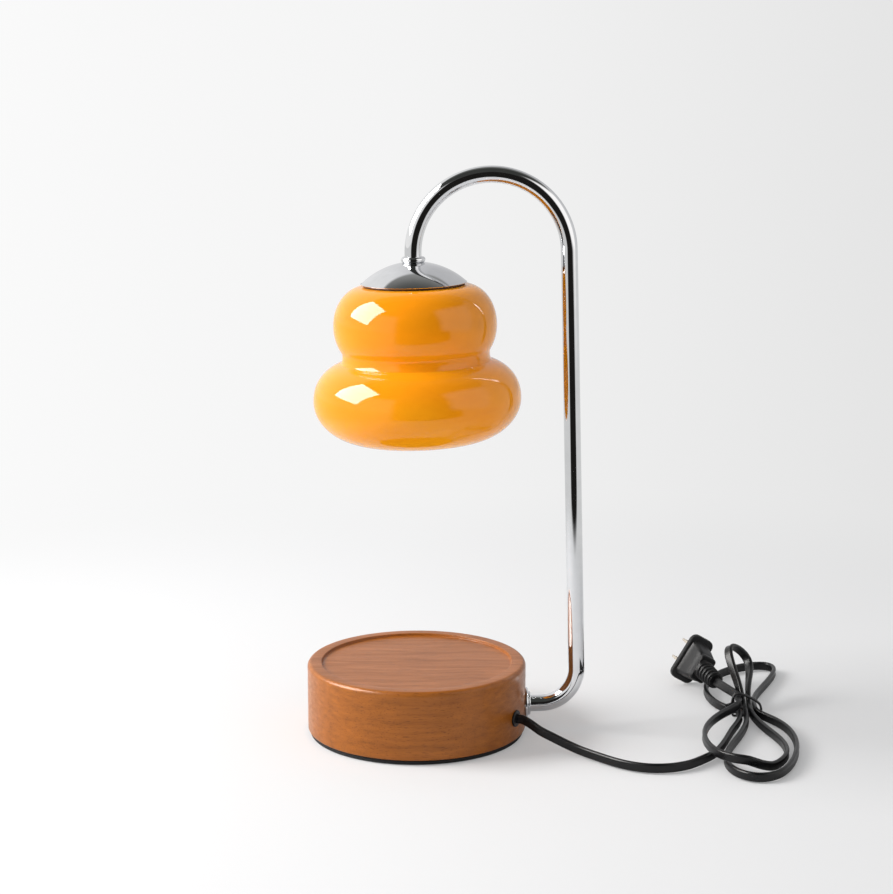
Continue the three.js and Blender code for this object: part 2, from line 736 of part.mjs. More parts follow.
function makeShade() {
  const outside = shadeLine(0).reverse();
  const inside = shadeLine(glassWall);
  const neck = [[neckRadius, neckTop], [neckRadius, neckTop - glassWall]];
  const [lipRadius, lipInside] = inside[inside.length - 1];
  const lip = [lipRadius - mouthLip, (lipInside + outside[0][1]) / 2];
  const profile = [...outside, ...neck, ...inside, lip, outside[0]];
  add(head, "shade", turned(profile, fineSides), "amberGlass");

  const gasketTop = -gap;
  add(head, "shade_gasket", washer(gasketInner, gasketOuter, gasketTop - gasketThickness, gasketTop),
    "silicone");

  const ringTop = neckTop - glassWall - gap;
  const ringFoot = ringTop - ringHeight;
  const blank = washer(holderRadius + gap, ringOuter, ringFoot, ringTop);
  const flutes = [];
  for (let i = 0; i < ringFlutes; i += 1) {
    const flute = drum(2 * ringFluteDepth, ringFoot - overrun, ringTop - ringHeight * ringBandShare, 8);
    flutes.push(flute.translate(ringOuter + ringFluteDepth, 0, 0).rotateZ((2 * Math.PI * i) / ringFlutes));
  }
  add(head, "shade_ring", cut(blank, ...flutes), "blackPlastic");
}

function makeBulb(coreFoot) {
  const top = coreFoot - gap;
  const bulbFoot = top - bulbLength;
  const baseFoot = top - bulbBaseHeight;
  const studRoot = gap + studLength / 2;
  const base = turned([
    [0, baseFoot], [bulbBaseRadius * bulbBaseFootShare, baseFoot], [bulbBaseRadius, baseFoot + bulbBaseHeight / 2],
    [bulbBaseRadius, top], [0, top],
  ]);
  const sockets = [-1, 1].map((side) =>
    drum(studRadius + gap, top - studRoot - gap, top + overrun, smallSides)
      .translate((side * studSpacing) / 2, 0, 0));
  add(head, "bulb_base", cut(base, ...sockets), "ceramic");
  [-1, 1].forEach((side, i) => {
    const tip = top + studLength;
    const stud = turned([
      [0, top - studRoot], [studRadius, top - studRoot], [studRadius, tip - studHeadHeight],
      [studHeadRadius, tip - studHeadHeight], [studHeadRadius, tip - gap], [studHeadRadius - gap, tip],
      [0, tip],
    ], smallSides);
    add(head, `bulb_stud_${i + 1}`, stud.translate((side * studSpacing) / 2, 0, 0), "zinc");
  });

  // Reflector: a curved bowl that opens downwards, with a straight rim round the lens.
  const bowlTop = baseFoot - gap;
  const rimTop = bulbFoot + bulbRimHeight;
  const bowlNeck = bulbBaseRadius * bowlNeckShare;
  const bowlSteps = 6;
  const bowl = (inset) => {
    const points = [];
    for (let i = 0; i <= bowlSteps; i += 1) {
      const share = i / bowlSteps;
      const radius = bowlNeck + (bulbRadius - bowlNeck) * share ** bowlCurveShare - inset;
      points.push([radius, bowlTop - (bowlTop - rimTop) * share]);
    }
    return points;
  };
  const outer = bowl(0);
  const inner = bowl(bulbWall);
  inner[0][1] -= bulbWall;
  const reflector = turned([
    [0, bowlTop - bulbWall], ...inner, [bulbRadius - bulbWall, bulbFoot], [bulbRadius, bulbFoot],
    ...outer.reverse(), [0, bowlTop],
  ]);
  add(head, "bulb_reflector", reflector, "reflector");
  const lensRadius = bulbRadius - bulbWall - gap;
  add(head, "bulb_lens", drum(lensRadius, bulbFoot + gap, bulbFoot + gap + lensThickness), "clearGlass");
  const capsuleTop = bowlTop - bulbWall - gap;
  const capsuleFoot = capsuleTop - capsuleLength;
  const capsule = turned([
    ...arc(0, capsuleFoot + capsuleRadius, capsuleRadius, -90, 0, 4),
    [capsuleRadius, capsuleTop], [0, capsuleTop],
  ], smallSides);
  add(head, "bulb_capsule", capsule, "clearGlass");
}

// Free stretch of the lead, from the bush to the tie: middle points, chosen by hand.
const cordRoute = [
  [67.1, -34.9, 14.6], [72.1, -38.9, 12.1], [78.9, -42.6, 9.6], [86.3, -46.0, 6.8],
  [94.7, -50.9, 4.4], [105.6, -59.9, 3.3], [117.3, -70.4, 3.1], [129.7, -76.6, 3.1],
  [142.6, -77.0, 3.1], [154.5, -72.0, 3.1], [163.6, -63.4, 3.1], [170.6, -55.0, 3.1],
  [176.0, -45.0, 3.1], [181.3, -31.0, 3.1], [187.4, -13.0, 3.1], [192.4, -1.0, 3.7],
];

// Rows across the tie, counted in strands from its middle, and the layer of each.
const strandRows = {
  outerLeft: [-1.75, 0],
  innerLeft: [-0.5, 0],
  innerRight: [0.5, 0],
  outerRight: [1.5, 0],
  top: [-1.6, 1],
};

// The lobes in the order that the lead runs through them. Lengths are real sizes; skew is a share.
const lobes = [
  { from: "outerLeft", to: "outerRight", front: -1, reach: 46.9, fill: 37.7, spread: 47.3,
    bow: 9.2, skew: -1.07, shoulder: 4.2, corner: 9 },
  { from: "outerRight", to: "innerLeft", front: 1, reach: 54, fill: 51.6, spread: 33.2,
    bow: -7.1, skew: -0.87, shoulder: -7, corner: 17.7 },
  { from: "innerLeft", to: "innerRight", front: -1, reach: 47.8, fill: -2, spread: 19.4,
    bow: -1.4, skew: -0.07, shoulder: 0, corner: 0, rise: 36, roll: 50 },
  { from: "innerRight", to: "top", front: 1, reach: 50, fill: 48, spread: 35,
    bow: -12.5, skew: 0.5, shoulder: 7, corner: 10, climbFrom: 0.36 },
];

const ease = (share) => {
  const t = Math.min(Math.max(share, 0), 1);
  return t * t * (3 - 2 * t);
};

// A point of a lobe at a share of its way round, with the direction of the lead's wide side.
function lobePoint(lobe, share) {
  const [fromRow, fromLayer] = strandRows[lobe.from];
  const [toRow, toLayer] = strandRows[lobe.to];
  const s = Math.sin(Math.PI * share);
  const c = Math.cos(Math.PI * share);
  const widest = 4 / (3 * Math.sqrt(3));
  const turn = Math.sign(toRow - fromRow);
  const along = lobe.reach * s * (1 + lobe.skew * c) + lobe.fill * s ** 3;
  const spread = -turn * (lobe.spread / 2) * ((2 * s * s * c) / widest);
  const bow = lobe.bow * s * s + lobe.shoulder * s * s * Math.cos(2 * Math.PI * share);
  const square = lobe.corner * s * s * Math.sin(2 * Math.PI * share) * c * c;
  const row = strandPitch * (fromRow + (toRow - fromRow) * ease(share));
  const edge = Math.min(share, 1 - share);
  const climb = crossRise * (toLayer - fromLayer) * ease((share - lobe.climbFrom) / climbShare);
  const upright = new THREE.Vector3(0, 0, 1);
  if (lobe.rise) {
    const rise = lobe.rise * degrees;
    const roll = lobe.roll * degrees;
    const forward = new THREE.Vector3(0, Math.cos(rise), Math.sin(rise));
    const face = new THREE.Vector3(0, -Math.sin(rise), Math.cos(rise));
    const sideways = new THREE.Vector3(Math.cos(roll), 0, 0).addScaledVector(face, -Math.sin(roll));
    const point = new THREE.Vector3(tieX + row + lobe.bow * s * s, tieY + tieHalf, tieLie)
      .addScaledVector(forward, along)
      .addScaledVector(sideways, spread);
    const rolled = forward.clone().cross(sideways).negate();
    if (rolled.z < 0) rolled.negate();
    return { point, wide: upright.lerp(rolled, ease(edge / turnShare)).normalize() };
  }
  const height = tieLie + (cordLie - tieLie) * ease(edge / settleShare) + (lobe.climbFrom ? climb : 0);
  const x = tieX + row + spread + bow + square;
  const y = tieY - lobe.front * (tieHalf + along);
  return { point: new THREE.Vector3(x, y, height), wide: upright };
}

// The tie passages are straight, and so are the hank's two ends.
function hankStations() {
  const stations = [];
  const upright = new THREE.Vector3(0, 0, 1);
  const rowPoint = (name, y) => {
    const [row, layer] = strandRows[name];
    return new THREE.Vector3(tieX + strandPitch * row, y, tieLie + crossRise * layer);
  };
  const startY = tieY - tieHalf - cordWidth;
  stations.push({ point: rowPoint(lobes[0].from, startY), wide: upright });
  lobes.forEach((lobe) => {
    for (let i = 0; i <= lobeSteps; i += 1) stations.push(lobePoint(lobe, i / lobeSteps));
  });
  const lastLobe = lobes[lobes.length - 1];
  stations.push({ point: rowPoint(lastLobe.to, tieY + tieHalf), wide: upright });
  stations.push({ point: rowPoint(lastLobe.to, tieY + tieHalf + cordThickness), wide: upright });
  const ahead = new THREE.Vector3(0, 1, 0);
  const made = stationsOf(stations.map(({ point }) => point), stations.map(({ wide }) => wide), ahead, ahead);
  return made;
}

// The least gap between two stretches of the swept lead that don't follow on each other.
function leastGapToItself(stations) {
  const samples = [];
  const between = 5;
  const corners = leadSection(6).getPoints();
  const frames = new StationPath(stations).computeFrenetFrames();
  const ring = (i) => corners.map((corner) => stations[i].point.clone()
    .addScaledVector(frames.normals[i], corner.x)
    .addScaledVector(frames.binormals[i], corner.y));
  let travelled = 0;
  for (let i = 0; i + 1 < stations.length; i += 1) {
    const here = ring(i);
    const next = ring(i + 1);
    const step = stations[i].point.distanceTo(stations[i + 1].point);
    for (let k = 0; k < between; k += 1) {
      const share = k / between;
      const points = here.map((point, j) => point.clone().lerp(next[j], share));
      const sides = points.map((point, j) => point.clone().lerp(points[(j + 1) % points.length], 0.5));
      const middle = stations[i].point.clone().lerp(stations[i + 1].point, share);
      samples.push({ middle, points: [...points, ...sides], travelled: travelled + step * share });
    }
    travelled += step;
  }
  let least = Infinity;
  let where = null;
  samples.forEach((a, i) => {
    for (let j = i + 1; j < samples.length; j += 1) {
      const b = samples[j];
      if (b.travelled - a.travelled < 3 * cordWidth) continue;
      if (a.middle.distanceTo(b.middle) > 2 * cordWidth) continue;
      a.points.forEach((p) => b.points.forEach((q) => {
        if (p.distanceTo(q) >= least) return;
        least = p.distanceTo(q);
        where = p;
      }));
    }
  });
  return { least, where, length: travelled };
}

function makeCord() {
  const upright = new THREE.Vector3(0, 0, 1);
  const ahead = new THREE.Vector3(0, 1, 0);
  const bushFace = baseRadius + gap + bushFlangeThickness;
  const startPoint = cordDirection.clone().multiplyScalar(bushFace + gap).setZ(armHeight);
  const straight = cordDirection.clone().multiplyScalar(bushFace + gap + cordThickness).setZ(armHeight);
  const hank = hankStations();
  const hankStart = hank[0].point;
  const hankEnd = hank[hank.length - 1].point;
  const beforeTie = hankStart.clone().addScaledVector(ahead, -cordThickness - gap);
  const intoTie = hankStart.clone().addScaledVector(ahead, -gap);
  const curve = new THREE.CatmullRomCurve3([
    startPoint, straight, ...cordRoute.map((place) => new THREE.Vector3(...place)), beforeTie, intoTie,
  ]);
  const free = curve.getSpacedPoints(cordFreeSteps);
  add(object, "cord", swept(leadSection(8), stationsOf(free, upright, cordDirection, ahead)), "lead");

  const self = leastGapToItself(hank);
  const place = self.where.toArray().map((value) => value.toFixed(0)).join(", ");
  console.log(`least gap in the hank ${self.least.toFixed(2)} mm at ${place}, wanted ${loopGapWanted}`);
  console.log(`lead: free ${curve.getLength().toFixed(0)} mm, hank ${self.length.toFixed(0)} mm`);
  add(object, "cord_hank", swept(leadSection(6), hank), "lead");

  // The last short stretch, from the tie up to the plug's strain relief.
  plug.updateMatrixWorld(true);
  const plugEnd = new THREE.Vector3(-gap, 0, 0).applyMatrix4(plug.matrixWorld);
  const plugAxis = new THREE.Vector3(1, 0, 0).transformDirection(plug.matrixWorld);
  const plugWide = new THREE.Vector3(0, 1, 0).transformDirection(plug.matrixWorld);
  if (plugWide.z < 0) plugWide.negate();
  const tailStart = hankEnd.clone().addScaledVector(ahead, gap);
  const tailCurve = new THREE.CatmullRomCurve3([
    tailStart, tailStart.clone().addScaledVector(ahead, cordThickness),
    plugEnd.clone().addScaledVector(plugAxis, -cordThickness), plugEnd,
  ]);
  const tail = tailCurve.getSpacedPoints(8);
  const wides = tail.map((_, i) => upright.clone().lerp(plugWide, ease(i / 8)).normalize());
  console.log(`tail ${tailCurve.getLength().toFixed(0)} mm`);
  add(object, "cord_tail", swept(leadSection(8), stationsOf(tail, wides, ahead, plugAxis)), "lead");
  makeTie();
}

// The wire tie: a band round the strands with its two ends twisted together.
function makeTie() {
  const room = gap + tieBand / 2;
  const rows = Object.values(strandRows).map(([row]) => row);
  const left = strandPitch * Math.min(...rows) - cordThickness / 2 - room;
  const right = strandPitch * Math.max(...rows) + cordThickness / 2 + room;
  const low = tieLie - cordWidth / 2 - room;
  const top = strandRows.top[0] * strandPitch;
  const high = tieLie + crossRise + cordWidth / 2 + room;
  const shoulder = tieLie + cordWidth / 2 + room;
  const outline = (grow) => new THREE.Path([
    [left - grow, low - grow], [right + grow, low - grow], [right + grow, shoulder + grow],
    [top + cordThickness + grow, high + grow], [top - cordThickness - grow, high + grow],
    [left - grow, shoulder + grow],
  ].map(([x, z]) => new THREE.Vector2(x, z)));
  const shape = new THREE.Shape(outline(tieBand / 2).getPoints());
  shape.holes.push(outline(-tieBand / 2));
  const band = prism(shape, -tieBandWidth / 2, tieBandWidth / 2).rotateX(Math.PI / 2)
    .translate(tieX, tieY, 0);
  const twist = drum(tieTwistRadius, 0, tieTwistLength, 8).rotateX(Math.PI / 2).rotateZ(-Math.PI / 4)
    .translate(tieX + left, tieY, shoulder);
  add(object, "cord_tie", join(band, twist), "blackPlastic");
}

// The plug lies along its own X, blades forward, with the lead's end at its origin.
function makePlug() {
  plug.position.set(plugX, plugY, plugZ);
  plug.rotation.order = "ZYX";
  plug.rotation.set(plugRoll * degrees, -plugRise * degrees, plugHeading * degrees);

  const ribPitch = plugReliefLength / (2 * plugRibCount);
  const relief = [[0, 0]];
  for (let i = 0; i < plugRibCount; i += 1) {
    const start = 2 * i * ribPitch;
    const radiusAt = (x) => plugReliefRadius - plugReliefTaper * (1 - x / plugReliefLength);
    relief.push([radiusAt(start), start], [radiusAt(start + ribPitch), start + ribPitch]);
    relief.push([radiusAt(start + ribPitch) - plugRibDepth, start + ribPitch]);
    relief.push([radiusAt(start + 2 * ribPitch) - plugRibDepth, start + 2 * ribPitch]);
  }
  relief.push([0, plugReliefLength + overrun]);
  const reliefBody = turned(relief, 14).rotateY(Math.PI / 2);
  const stepStart = plugReliefLength;
  const bodyStart = stepStart + plugStepLength;
  const plateStart = bodyStart + plugBodyLength;
  const plateEnd = plateStart + plugPlateLength;
  const standing = (width, height, corner, from, to) =>
    prism(roundedBox(width, height, corner), from, to).rotateY(Math.PI / 2).rotateX(Math.PI / 2);
  const stepCorner = plugPlateCorner / 2;
  const step = standing(plugStepWidth, plugStepHeight, stepCorner, stepStart, bodyStart);
  const neck = standing(plugBodyWidth, plugBodyHeight, stepCorner, bodyStart, plateStart);
  const plate = standing(plugPlateWidth, plugPlateHeight, plugPlateCorner, plateStart, plateEnd);
  // The body swells from the step towards the plate.
  const swell = plugStepWidth / plugBodyWidth;
  const places = neck.getAttribute("position");
  for (let i = 0; i < places.count; i += 1) {
    if (places.getX(i) < (bodyStart + plateStart) / 2) {
      places.setY(i, places.getY(i) * swell);
      places.setZ(i, places.getZ(i) * swell);
    }
  }
  const whole = join(reliefBody, step, neck, plate);
  const bladeSlots = [-1, 1].map((side) =>
    block(2 * bladeRoot, bladeThickness + 2 * gap, bladeWidth + 2 * gap)
      .translate(plateEnd, (side * bladeSpacing) / 2, 0));
  add(plug, "plug_body", cut(whole, ...bladeSlots), "blackPlastic");
  [-1, 1].forEach((side, i) => {
    const length = bladeLength + bladeRoot - gap;
    const outline = roundedBox(length, bladeWidth, bladeWidth / 4);
    const blade = prism(outline, -bladeThickness / 2, bladeThickness / 2);
    const hole = drum(bladeHoleRadius, -overrun, overrun, 12).translate(length / 2 - bladeHoleInset, 0, 0);
    const placed = cut(blade, hole).rotateX(Math.PI / 2)
      .translate(plateEnd + bladeLength - length / 2, (side * bladeSpacing) / 2, 0);
    add(plug, `plug_blade_${i + 1}`, placed, "brass");
  });
}

makeBase();
makeArm();
makeWiring();
const coreFoot = makeHead();
makeShade();
makeBulb(coreFoot);
makePlug();
makeCord();

export default object;
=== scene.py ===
# Candle warmer lamp: the pieces that show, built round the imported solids. Metres, +Z up.
import math

import bmesh
import bpy
from bpy.props import FloatProperty, FloatVectorProperty, IntProperty, PointerProperty
from mathutils import Matrix, Vector


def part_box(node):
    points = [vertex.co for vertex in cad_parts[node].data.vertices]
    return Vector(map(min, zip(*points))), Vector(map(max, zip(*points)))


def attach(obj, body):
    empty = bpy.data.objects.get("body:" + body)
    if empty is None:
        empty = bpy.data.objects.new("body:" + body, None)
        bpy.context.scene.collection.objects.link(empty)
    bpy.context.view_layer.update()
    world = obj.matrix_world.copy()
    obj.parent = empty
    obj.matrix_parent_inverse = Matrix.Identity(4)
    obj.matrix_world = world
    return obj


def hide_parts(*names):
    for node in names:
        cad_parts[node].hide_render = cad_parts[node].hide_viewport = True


bl_info = {
    "name": "Candle warmer lamp",
    "version": (1, 0, 0),
    "blender": (4, 5, 0),
    "location": "View3D > Sidebar > Lamp",
    "description": "Turned wooden base, bent chromed arm, cased glass shade and flat cord",
    "category": "Add Mesh",
}

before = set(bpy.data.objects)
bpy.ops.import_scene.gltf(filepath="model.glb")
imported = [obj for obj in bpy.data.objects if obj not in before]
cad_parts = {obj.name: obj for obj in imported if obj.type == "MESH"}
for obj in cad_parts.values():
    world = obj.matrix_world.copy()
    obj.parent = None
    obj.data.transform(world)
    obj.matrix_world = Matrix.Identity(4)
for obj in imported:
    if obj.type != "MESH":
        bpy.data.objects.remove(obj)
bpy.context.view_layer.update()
MM = 0.001
BASE_LOW, BASE_HIGH = (Vector(corner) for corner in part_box("base_body"))
PAD_HIGH = Vector(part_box("base_pad")[1])
BASE_RADIUS = BASE_HIGH.x

# The head's axis leans with the arm. Its zero is the plane of the cap's rim.
ARM_LEAN = math.radians(1.6)
UP = Vector((-math.sin(ARM_LEAN), 0, math.cos(ARM_LEAN)))
ACROSS = Vector((math.cos(ARM_LEAN), 0, math.sin(ARM_LEAN)))
ON_SIDE = Matrix.Rotation(math.pi / 2, 4, "Y")


def srgb(code):
    """Linear colour from an sRGB hex value."""
    parts = [int(code[i : i + 2], 16) / 255 for i in (1, 3, 5)]
    return (*[p / 12.92 if p <= 0.04045 else ((p + 0.055) / 1.055) ** 2.4 for p in parts], 1.0)


# Sizes and colours that a user would change


def mm_size(name, description, size):
    return FloatProperty(name=name, description=description, default=size * MM, unit="LENGTH")


def number(name, description, default, lowest):
    return IntProperty(name=name, description=description, default=default, min=lowest)


def colour(name, description, code):
    return FloatVectorProperty(
        name=name, description=description, subtype="COLOR", size=4, default=srgb(code)
    )


class BaseSizes(bpy.types.PropertyGroup):
    dish_radius: mm_size("Dish radius", "Radius of the dished top", 56)
    dish_depth: mm_size("Dish depth", "Depth of the dished top", 1.6)
    top_round: mm_size("Top edge", "Rounding of the top edge", 2.7)
    foot_round: mm_size("Foot edge", "Rounding of the bottom edge", 1.0)
    wall: mm_size("Wall", "Wall of the hollow underside", 15)
    ceiling: mm_size("Ceiling", "Wood over the hollow", 13)


class ArmSizes(bpy.types.PropertyGroup):
    tube_radius: mm_size("Tube radius", "Outer radius of the arm", 4.9)
    height: mm_size("Exit height", "Height of the tube's exit", 16.3)
    level_end: mm_size("Level end", "Where the lower bend starts", 73.8)
    bend_radius: mm_size("Lower bend", "Middle-line radius of the bend", 21.5)
    leg_length: mm_size("Leg", "Length of the upright leg", 249)
    hook_radius: mm_size("Hook", "Middle-line radius of the hook", 44.9)
    hook_drop: mm_size("Drop", "From the hook's end to the cap's rim", 16.2)
    flange_radius: mm_size("Flange", "Radius of the wall flange", 9.5)


class HeadSizes(bpy.types.PropertyGroup):
    cap_radius: mm_size("Cap radius", "Radius of the domed cap", 30.8)
    cap_height: mm_size("Cap height", "Height of the domed cap", 12.4)
    upper_radius: mm_size("Upper tier", "Radius of the upper tier", 47.4)
    lower_radius: mm_size("Lower tier", "Radius of the lower tier", 60.5)
    waist_radius: mm_size("Waist", "Radius between the tiers", 42.8)
    glass_wall: mm_size("Glass", "Wall of the cased glass", 3)
    ring_grips: number("Grips", "Ribs round the shade ring", 18, 6)


class CordSizes(bpy.types.PropertyGroup):
    width: mm_size("Width", "Width of the flat cord", 5.6)
    thickness: mm_size("Thickness", "Thickness of the flat cord", 2.9)
    groove: mm_size("Groove", "Depth of the groove between the cores", 0.5)
    relief_ribs: number("Relief ribs", "Ribs on the plug's strain relief", 5, 2)


class Finishes(bpy.types.PropertyGroup):
    wood: colour("Wood", "Stained wood", "#9C5919")
    glass: colour("Glass", "Amber cased glass", "#FFA614")
    chrome: colour("Chrome", "Chrome plating", "#DDDEE0")
    cord: colour("Cord", "Cord sheath", "#101011")


# Meshes


def linked(name, data):
    obj = bpy.data.objects.new(name, data)
    bpy.context.scene.collection.objects.link(obj)
    return obj


def shade(mesh, crease=38):
    mesh.polygons.foreach_set("use_smooth", [True] * len(mesh.polygons))
    mesh.set_sharp_from_angle(angle=math.radians(crease))


def new_object(name, bm, matrix=Matrix()):
    """A smooth object from a mesh in the making, with its place in its mesh."""
    bm.transform(matrix)
    mesh = bpy.data.meshes.new(name)
    bm.to_mesh(mesh)
    bm.free()
    shade(mesh)
    return linked(name, mesh)


def skinned(name, rings, matrix=Matrix(), closed=False):
    """A piece from rings of points, joined one to the next. A ring of one point is a pole."""
    bm = bmesh.new()
    rows = [[bm.verts.new(point) for point in ring] for ring in rings]
    for low, high in zip(rows, rows[1:] + rows[:1] if closed else rows[1:]):
        count = max(len(low), len(high))
        for i in range(count):
            j = (i + 1) % count
            corners = [low[i % len(low)], low[j % len(low)], high[j % len(high)], high[i % len(high)]]
            face = list(dict.fromkeys(corners))
            if len(face) > 2:
                bm.faces.new(face)
    if not closed and len(rows[0]) > 1:
        bm.faces.new(rows[0][::-1])
        bm.faces.new(rows[-1])
    bmesh.ops.recalc_face_normals(bm, faces=bm.faces)
    return new_object(name, bm, matrix)


def circle(radius, sides):
    angles = [math.tau * i / sides for i in range(sides)]
    return [(radius * math.cos(angle), radius * math.sin(angle)) for angle in angles]


def turned(name, profile, sides, matrix=Matrix()):
    """A closed piece turned about Z. The profile's points are (radius, height)."""
    rings = [[(x, y, z) for x, y in circle(r, sides)] if r else [(0, 0, z)] for r, z in profile]
    solid = len(rings[0]) == 1 and len(rings[-1]) == 1
    return skinned(name, rings, matrix, closed=not solid)


def rod(name, radius, low, high, sides, matrix):
    return turned(name, [(0, low), (radius, low), (radius, high), (0, high)], sides, matrix)


def arc(centre_r, centre_z, radius, start, end, steps=8):
    """Points (radius, height) of an arc in a profile, angles in degrees."""
    angles = [math.radians(start + (end - start) * i / steps) for i in range(steps + 1)]
    return [(centre_r + radius * math.cos(a), centre_z + radius * math.sin(a)) for a in angles]


def swept(name, points, wides, section):
    """A closed piece along points. The section is (wide, side) points."""
    rings = []
    for i, (point, wide) in enumerate(zip(points, wides)):
        ahead = points[min(i + 1, len(points) - 1)] - point
        behind = point - points[max(i - 1, 0)]
        tangent = (ahead.normalized() + behind.normalized()).normalized()
        axis = (wide - tangent * wide.dot(tangent)).normalized()
        side = tangent.cross(axis)
        rings.append([point + (axis * x + side * y) for x, y in section])
    return skinned(name, rings)


def rounded_outline(width, height, corner, steps=6):
    """Points of a rectangle with round corners, about its middle."""
    corner = min(corner, width / 2 - 1e-5, height / 2 - 1e-5)
    points = []
    for turn, sx, sy in ((0, 1, 1), (90, -1, 1), (180, -1, -1), (270, 1, -1)):
        middle = (sx * (width / 2 - corner), sy * (height / 2 - corner))
        points += arc(*middle, corner, turn, turn + 90, steps)
    return points


def lofted(name, sections, matrix=Matrix()):
    """A closed piece along X through rounded rectangles (x, width, height, corner), in mm."""
    scaled = [[value * MM for value in section] for section in sections]
    return skinned(
        name, [[(x, y, z) for y, z in rounded_outline(*size)] for x, *size in scaled], matrix
    )


def applied(obj):
    """The object's modifiers become its mesh. A curve becomes a mesh of the same name."""
    graph = bpy.context.evaluated_depsgraph_get()
    mesh = bpy.data.meshes.new_from_object(obj.evaluated_get(graph))
    if obj.type == "MESH":
        obj.modifiers.clear()
        obj.data = mesh
        return obj
    name = obj.name
    bpy.data.objects.remove(obj)
    return linked(name, mesh)


def cut(obj, *tools):
    """The tools' space is taken out of the object, and the tools are removed."""
    for tool in tools:
        modifier = obj.modifiers.new("cut", "BOOLEAN")
        modifier.operation = "DIFFERENCE"
        modifier.solver = "EXACT"
        modifier.object = tool
    shade(applied(obj).data)
    for tool in tools:
        bpy.data.objects.remove(tool)


def dress(obj, key, body, slot, *nodes):
    """The piece takes its finish, rides on a body and stands for the nodes. The slot argument is not
    used.
    """
    obj.data.materials.clear()
    obj.data.materials.append(FINISH[key])
    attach(obj, body)
    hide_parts(*nodes)
    return obj


# Node trees

MATH, VECTOR, RANGE = "ShaderNodeMath", "ShaderNodeVectorMath", "ShaderNodeMapRange"
NOISE, RAMP, MIX, BUMP = "ShaderNodeTexNoise", "ShaderNodeValToRGB", "ShaderNodeMix", "ShaderNodeBump"
PARTS, BLEND, GLOW = "ShaderNodeSeparateXYZ", "ShaderNodeMixShader", "ShaderNodeEmission"
PLACE, SCALED = "ShaderNodeTexCoord", "ShaderNodeMapping"
OUTPUT = "ShaderNodeOutputMaterial"
CURVE_CIRCLE, CURVE_MESH = "GeometryNodeCurvePrimitiveCircle", "GeometryNodeCurveToMesh"
BACKGROUND, RAYS = "ShaderNodeBackground", "ShaderNodeLightPath"
SMOOTH = {"interpolation_type": "SMOOTHSTEP"}
TIMES, COLOURS = {"operation": "MULTIPLY"}, {"data_type": "RGBA"}
# A range node's last two sockets, to go down from 1 to 0
FALLING = {3: 1.0, 4: 0.0}


def add(tree, kind, links=None, stops=(), **settings):
    """One node with its settings. links go from a socket's name or index to a value, an output
    or a node, which stands for its first output in use. stops fill a colour ramp."""
    node = tree.nodes.new(kind)
    for key, value in settings.items():
        setattr(node, key, value)
    for socket, source in (links or {}).items():
        if isinstance(source, bpy.types.Node):
            source = next(output for output in source.outputs if output.enabled)
        if isinstance(source, bpy.types.NodeSocket):
            tree.links.new(source, node.inputs[socket])
        else:
            node.inputs[socket].default_value = source
    for place, shown in stops[1:-1]:
        node.color_ramp.elements.new(place).color = shown
    if stops:
        for element, (place, shown) in zip(node.color_ramp.elements, stops):
            element.position, element.color = place, shown
    return node


def cleared(owner):
    """The empty node tree of a new material or world."""
    owner.use_nodes = True
    owner.node_tree.nodes.clear()
    return owner.node_tree


def finish(name, sockets, build):
    """A material from one Principled shader. build gives the sockets that vary with the place."""
    material = bpy.data.materials.new(name)
    tree = cleared(material)
    varied = build(tree, add(tree, PLACE).outputs["Object"])
    shader = add(tree, "ShaderNodeBsdfPrincipled", {**sockets, **varied})
    add(tree, OUTPUT, {"Surface": shader})
    return material


def per_mm(*sizes):
    """A pattern's scale from the size of its marks in millimetres."""
    scales = [1 / (size * MM) for size in sizes]
    return scales if len(scales) > 1 else scales[0]


def shaded(tone, factor):
    """The colour made lighter or darker by a factor."""
    return (*[min(part * factor, 1) for part in tone[:3]], 1)


